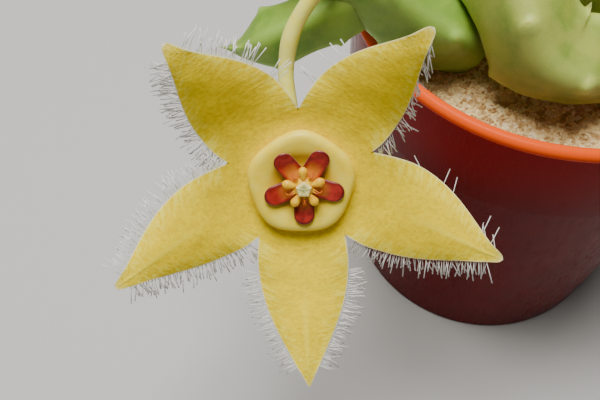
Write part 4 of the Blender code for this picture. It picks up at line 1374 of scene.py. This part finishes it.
def make_stalk(settings):
    """The flower's stalk, from the stem's flank over the shoot to under the flower, with five sepals"""
    route = Route(STALK_ARCH + [FLOWER @ point for point in STALK_BEND], 10)
    shape = Shape()
    rows = []
    for i in range(STALK_RINGS + 1):
        share = i / STALK_RINGS
        place, ahead, side = route.at(route.total * share)
        beside = ahead.cross(side)
        flare = smooth_step((share - 0.93) / 0.07)
        foot = smooth_step((0.03 - share) / 0.03)
        radius = STALK_RADIUS * (1 + 0.05 * math.sin(share * 23)) + STALK_FOOT * foot
        radius += (STALK_TOP_RADIUS - STALK_RADIUS) * flare
        rows.append(shape.ring(STALK_SIDES, lambda turn: (
            place + (side * math.cos(turn) + beside * math.sin(turn)) * radius)))
    shape.tube(rows[::-1], shape.point(route.places[-1].copy()), shape.point(route.places[0].copy()))
    for i in range(5):
        add_sepal(shape, math.radians(54 + 72 * i))
    finish = Finish("stalk_skin", 0.4, Specular_IOR_Level=0.4)
    base = finish.tint(settings.stalk, finish.noise(1.5 * MM), 0.35, 0.7, 1.0, STALK_DEEP)
    finish.set(Base_Color=finish.tint(base, finish.noise(0.3 * MM, 2), 0.55, 0.75, 0.4, STALK_LIGHT),
               Normal=finish.bump(finish.noise(0.6 * MM), 0.04 * MM))
    finish.soften(0.35, 0.8 * MM, (0.8, 1.0, 0.3))
    settle(shape.piece("flower_stalk_skin", finish.material), ["flower_stalk"])


def add_sepal(shape, heading):
    """A narrow pointed sepal that lies close under the corolla"""
    ahead = polar(1, heading)
    beside = Vector((-ahead.y, ahead.x, 0))

    def sepal_point(share, half, turn):
        """Point of the sepal's skin"""
        level = SEPAL_LEVEL + SEPAL_HALF_DEPTH * math.sin(turn) * (1 - 0.5 * share)
        place = ahead * ((SEPAL_START + SEPAL_LENGTH * share) * MM) + beside * half * math.cos(turn)
        return FLOWER @ (place + Vector((0, 0, level)))

    rows = []
    for s in range(SEPAL_RINGS + 1):
        share = s / SEPAL_RINGS
        half = SEPAL_HALF_WIDTH * math.sqrt(max(0.0, 1 - share ** 1.6)) * (1 - 0.35 * share) + SEPAL_POINT
        rows.append(shape.ring(SEPAL_SIDES, lambda turn: sepal_point(share, half, turn)))
    shape.tube(rows[::-1], shape.middle(rows[-1]), shape.middle(rows[0]))


# The stage

def make_camera():
    """The photo's viewpoint: level to the sides, looking steeply down on the flower"""
    data = bpy.data.cameras.new("camera")
    data.lens = LENS_MM
    data.sensor_width = SENSOR_MM
    data.clip_start = 0.01
    data.clip_end = 10
    camera = placed("camera", data)
    camera.location = CAMERA_PLACE
    camera.rotation_euler = (math.pi / 2 - CAMERA_PITCH, 0, 0)
    bpy.context.scene.camera = camera


def area_light(name, place, size, watts):
    """A soft square light that points at the plant"""
    data = bpy.data.lights.new(name, "AREA")
    data.size = size
    data.energy = watts
    data.color = LAMP_COLOUR
    lamp = placed(name, data)
    lamp.location = place
    lamp.rotation_euler = (LIGHT_AIM - place).to_track_quat("-Z", "Y").to_euler()


def make_stage(settings):
    """A plain pale floor, a soft light nearly overhead, a weak one in front, and the camera"""
    make_camera()
    bm = bmesh.new()
    bmesh.ops.create_grid(bm, x_segments=2, y_segments=2, size=FLOOR_HALF_SIZE)
    mesh = plain_mesh("floor", bm)
    paper = Finish("floor_paper", 0.9)
    paper.set(Base_Color=settings.floor_colour)
    mesh.materials.append(paper.material)
    placed("floor", mesh)
    area_light("key", KEY_PLACE, KEY_SIZE, settings.key_power)
    area_light("fill", FILL_PLACE, FILL_SIZE, settings.fill_power)
    world = bpy.data.worlds.new("studio")
    world.use_nodes = True
    background = world.node_tree.nodes["Background"]
    put(world.node_tree, background.inputs["Color"], SKY_COLOUR)
    put(world.node_tree, background.inputs["Strength"], settings.sky)
    bpy.context.scene.world = world


# Operators and panel

def operator(idname, label, doc, make, group):
    """An operator class that builds one group of pieces"""

    def execute(self, context):
        """Build the pieces from the scene's settings"""
        make(getattr(context.scene, group))
        return {"FINISHED"}

    return type("ORBEA_OT_" + idname, (bpy.types.Operator,), {
        "bl_idname": "orbea." + idname, "bl_label": label, "__doc__": doc,
        "bl_options": {"REGISTER", "UNDO"}, "execute": execute})


OPERATORS = [
    operator("stage", "Stage", "Add the floor, the lights and the camera", make_stage, "orbea_stage"),
    operator("pot", "Pot", "Build the plastic pot", make_pot, "orbea_pot"),
    operator("grit", "Sand", "Build the sand and its grains", make_grit, "orbea_grit"),
    operator("stems", "Stems", "Build the four-angled stems", make_stems, "orbea_stems"),
    operator("stalk", "Stalk", "Build the flower's stalk and sepals", make_stalk, "orbea_flower"),
    operator("corolla", "Corolla", "Build the yellow star", make_corolla, "orbea_flower"),
    operator("fringe", "Fringe", "Grow the hairs on the lobes' margins", make_fringe, "orbea_fringe"),
    operator("annulus", "Ring", "Build the cream ring", make_annulus, "orbea_flower"),
    operator("corona_outer", "Outer crown", "Build the maroon crown", make_corona_outer, "orbea_flower"),
    operator("corona_inner", "Inner crown", "Build the orange crown", make_corona_inner, "orbea_flower"),
    operator("style_head", "Style head", "Build the pale middle", make_style_head, "orbea_flower"),
]
SETTINGS = {
    "orbea_stage": OrbeaStageSettings,
    "orbea_pot": OrbeaPotSettings,
    "orbea_grit": OrbeaGritSettings,
    "orbea_stems": OrbeaStemSettings,
    "orbea_flower": OrbeaFlowerSettings,
    "orbea_fringe": OrbeaFringeSettings,
}


class ORBEA_PT_panel(bpy.types.Panel):
    """Settings and buttons for the potted orbea"""
    bl_idname = "ORBEA_PT_panel"
    bl_label = "Potted orbea"
    bl_space_type = "VIEW_3D"
    bl_region_type = "UI"
    bl_category = "Orbea"

    def draw(self, context):
        """List the buttons and each group of settings"""
        for item in OPERATORS:
            self.layout.operator(item.bl_idname)
        for name, group in SETTINGS.items():
            box = self.layout.box()
            box.label(text=group.__doc__)
            for prop in group.__annotations__:
                box.prop(getattr(context.scene, name), prop)


def register():
    """Register the settings, the operators and the panel"""
    for name, group in SETTINGS.items():
        bpy.utils.register_class(group)
        setattr(bpy.types.Scene, name, PointerProperty(type=group))
    for item in OPERATORS:
        bpy.utils.register_class(item)
    bpy.utils.register_class(ORBEA_PT_panel)


def unregister():
    """Remove what register added"""
    bpy.utils.unregister_class(ORBEA_PT_panel)
    for item in reversed(OPERATORS):
        bpy.utils.unregister_class(item)
    for name, group in SETTINGS.items():
        delattr(bpy.types.Scene, name)
        bpy.utils.unregister_class(group)


def main():
    """Build everything, and keep the sizes of the CAD model and of the dressed one"""
    register()
    for item in OPERATORS:
        group, name = item.bl_idname.split(".")
        getattr(getattr(bpy.ops, group), name)()


if __name__ == "__main__":
    main()
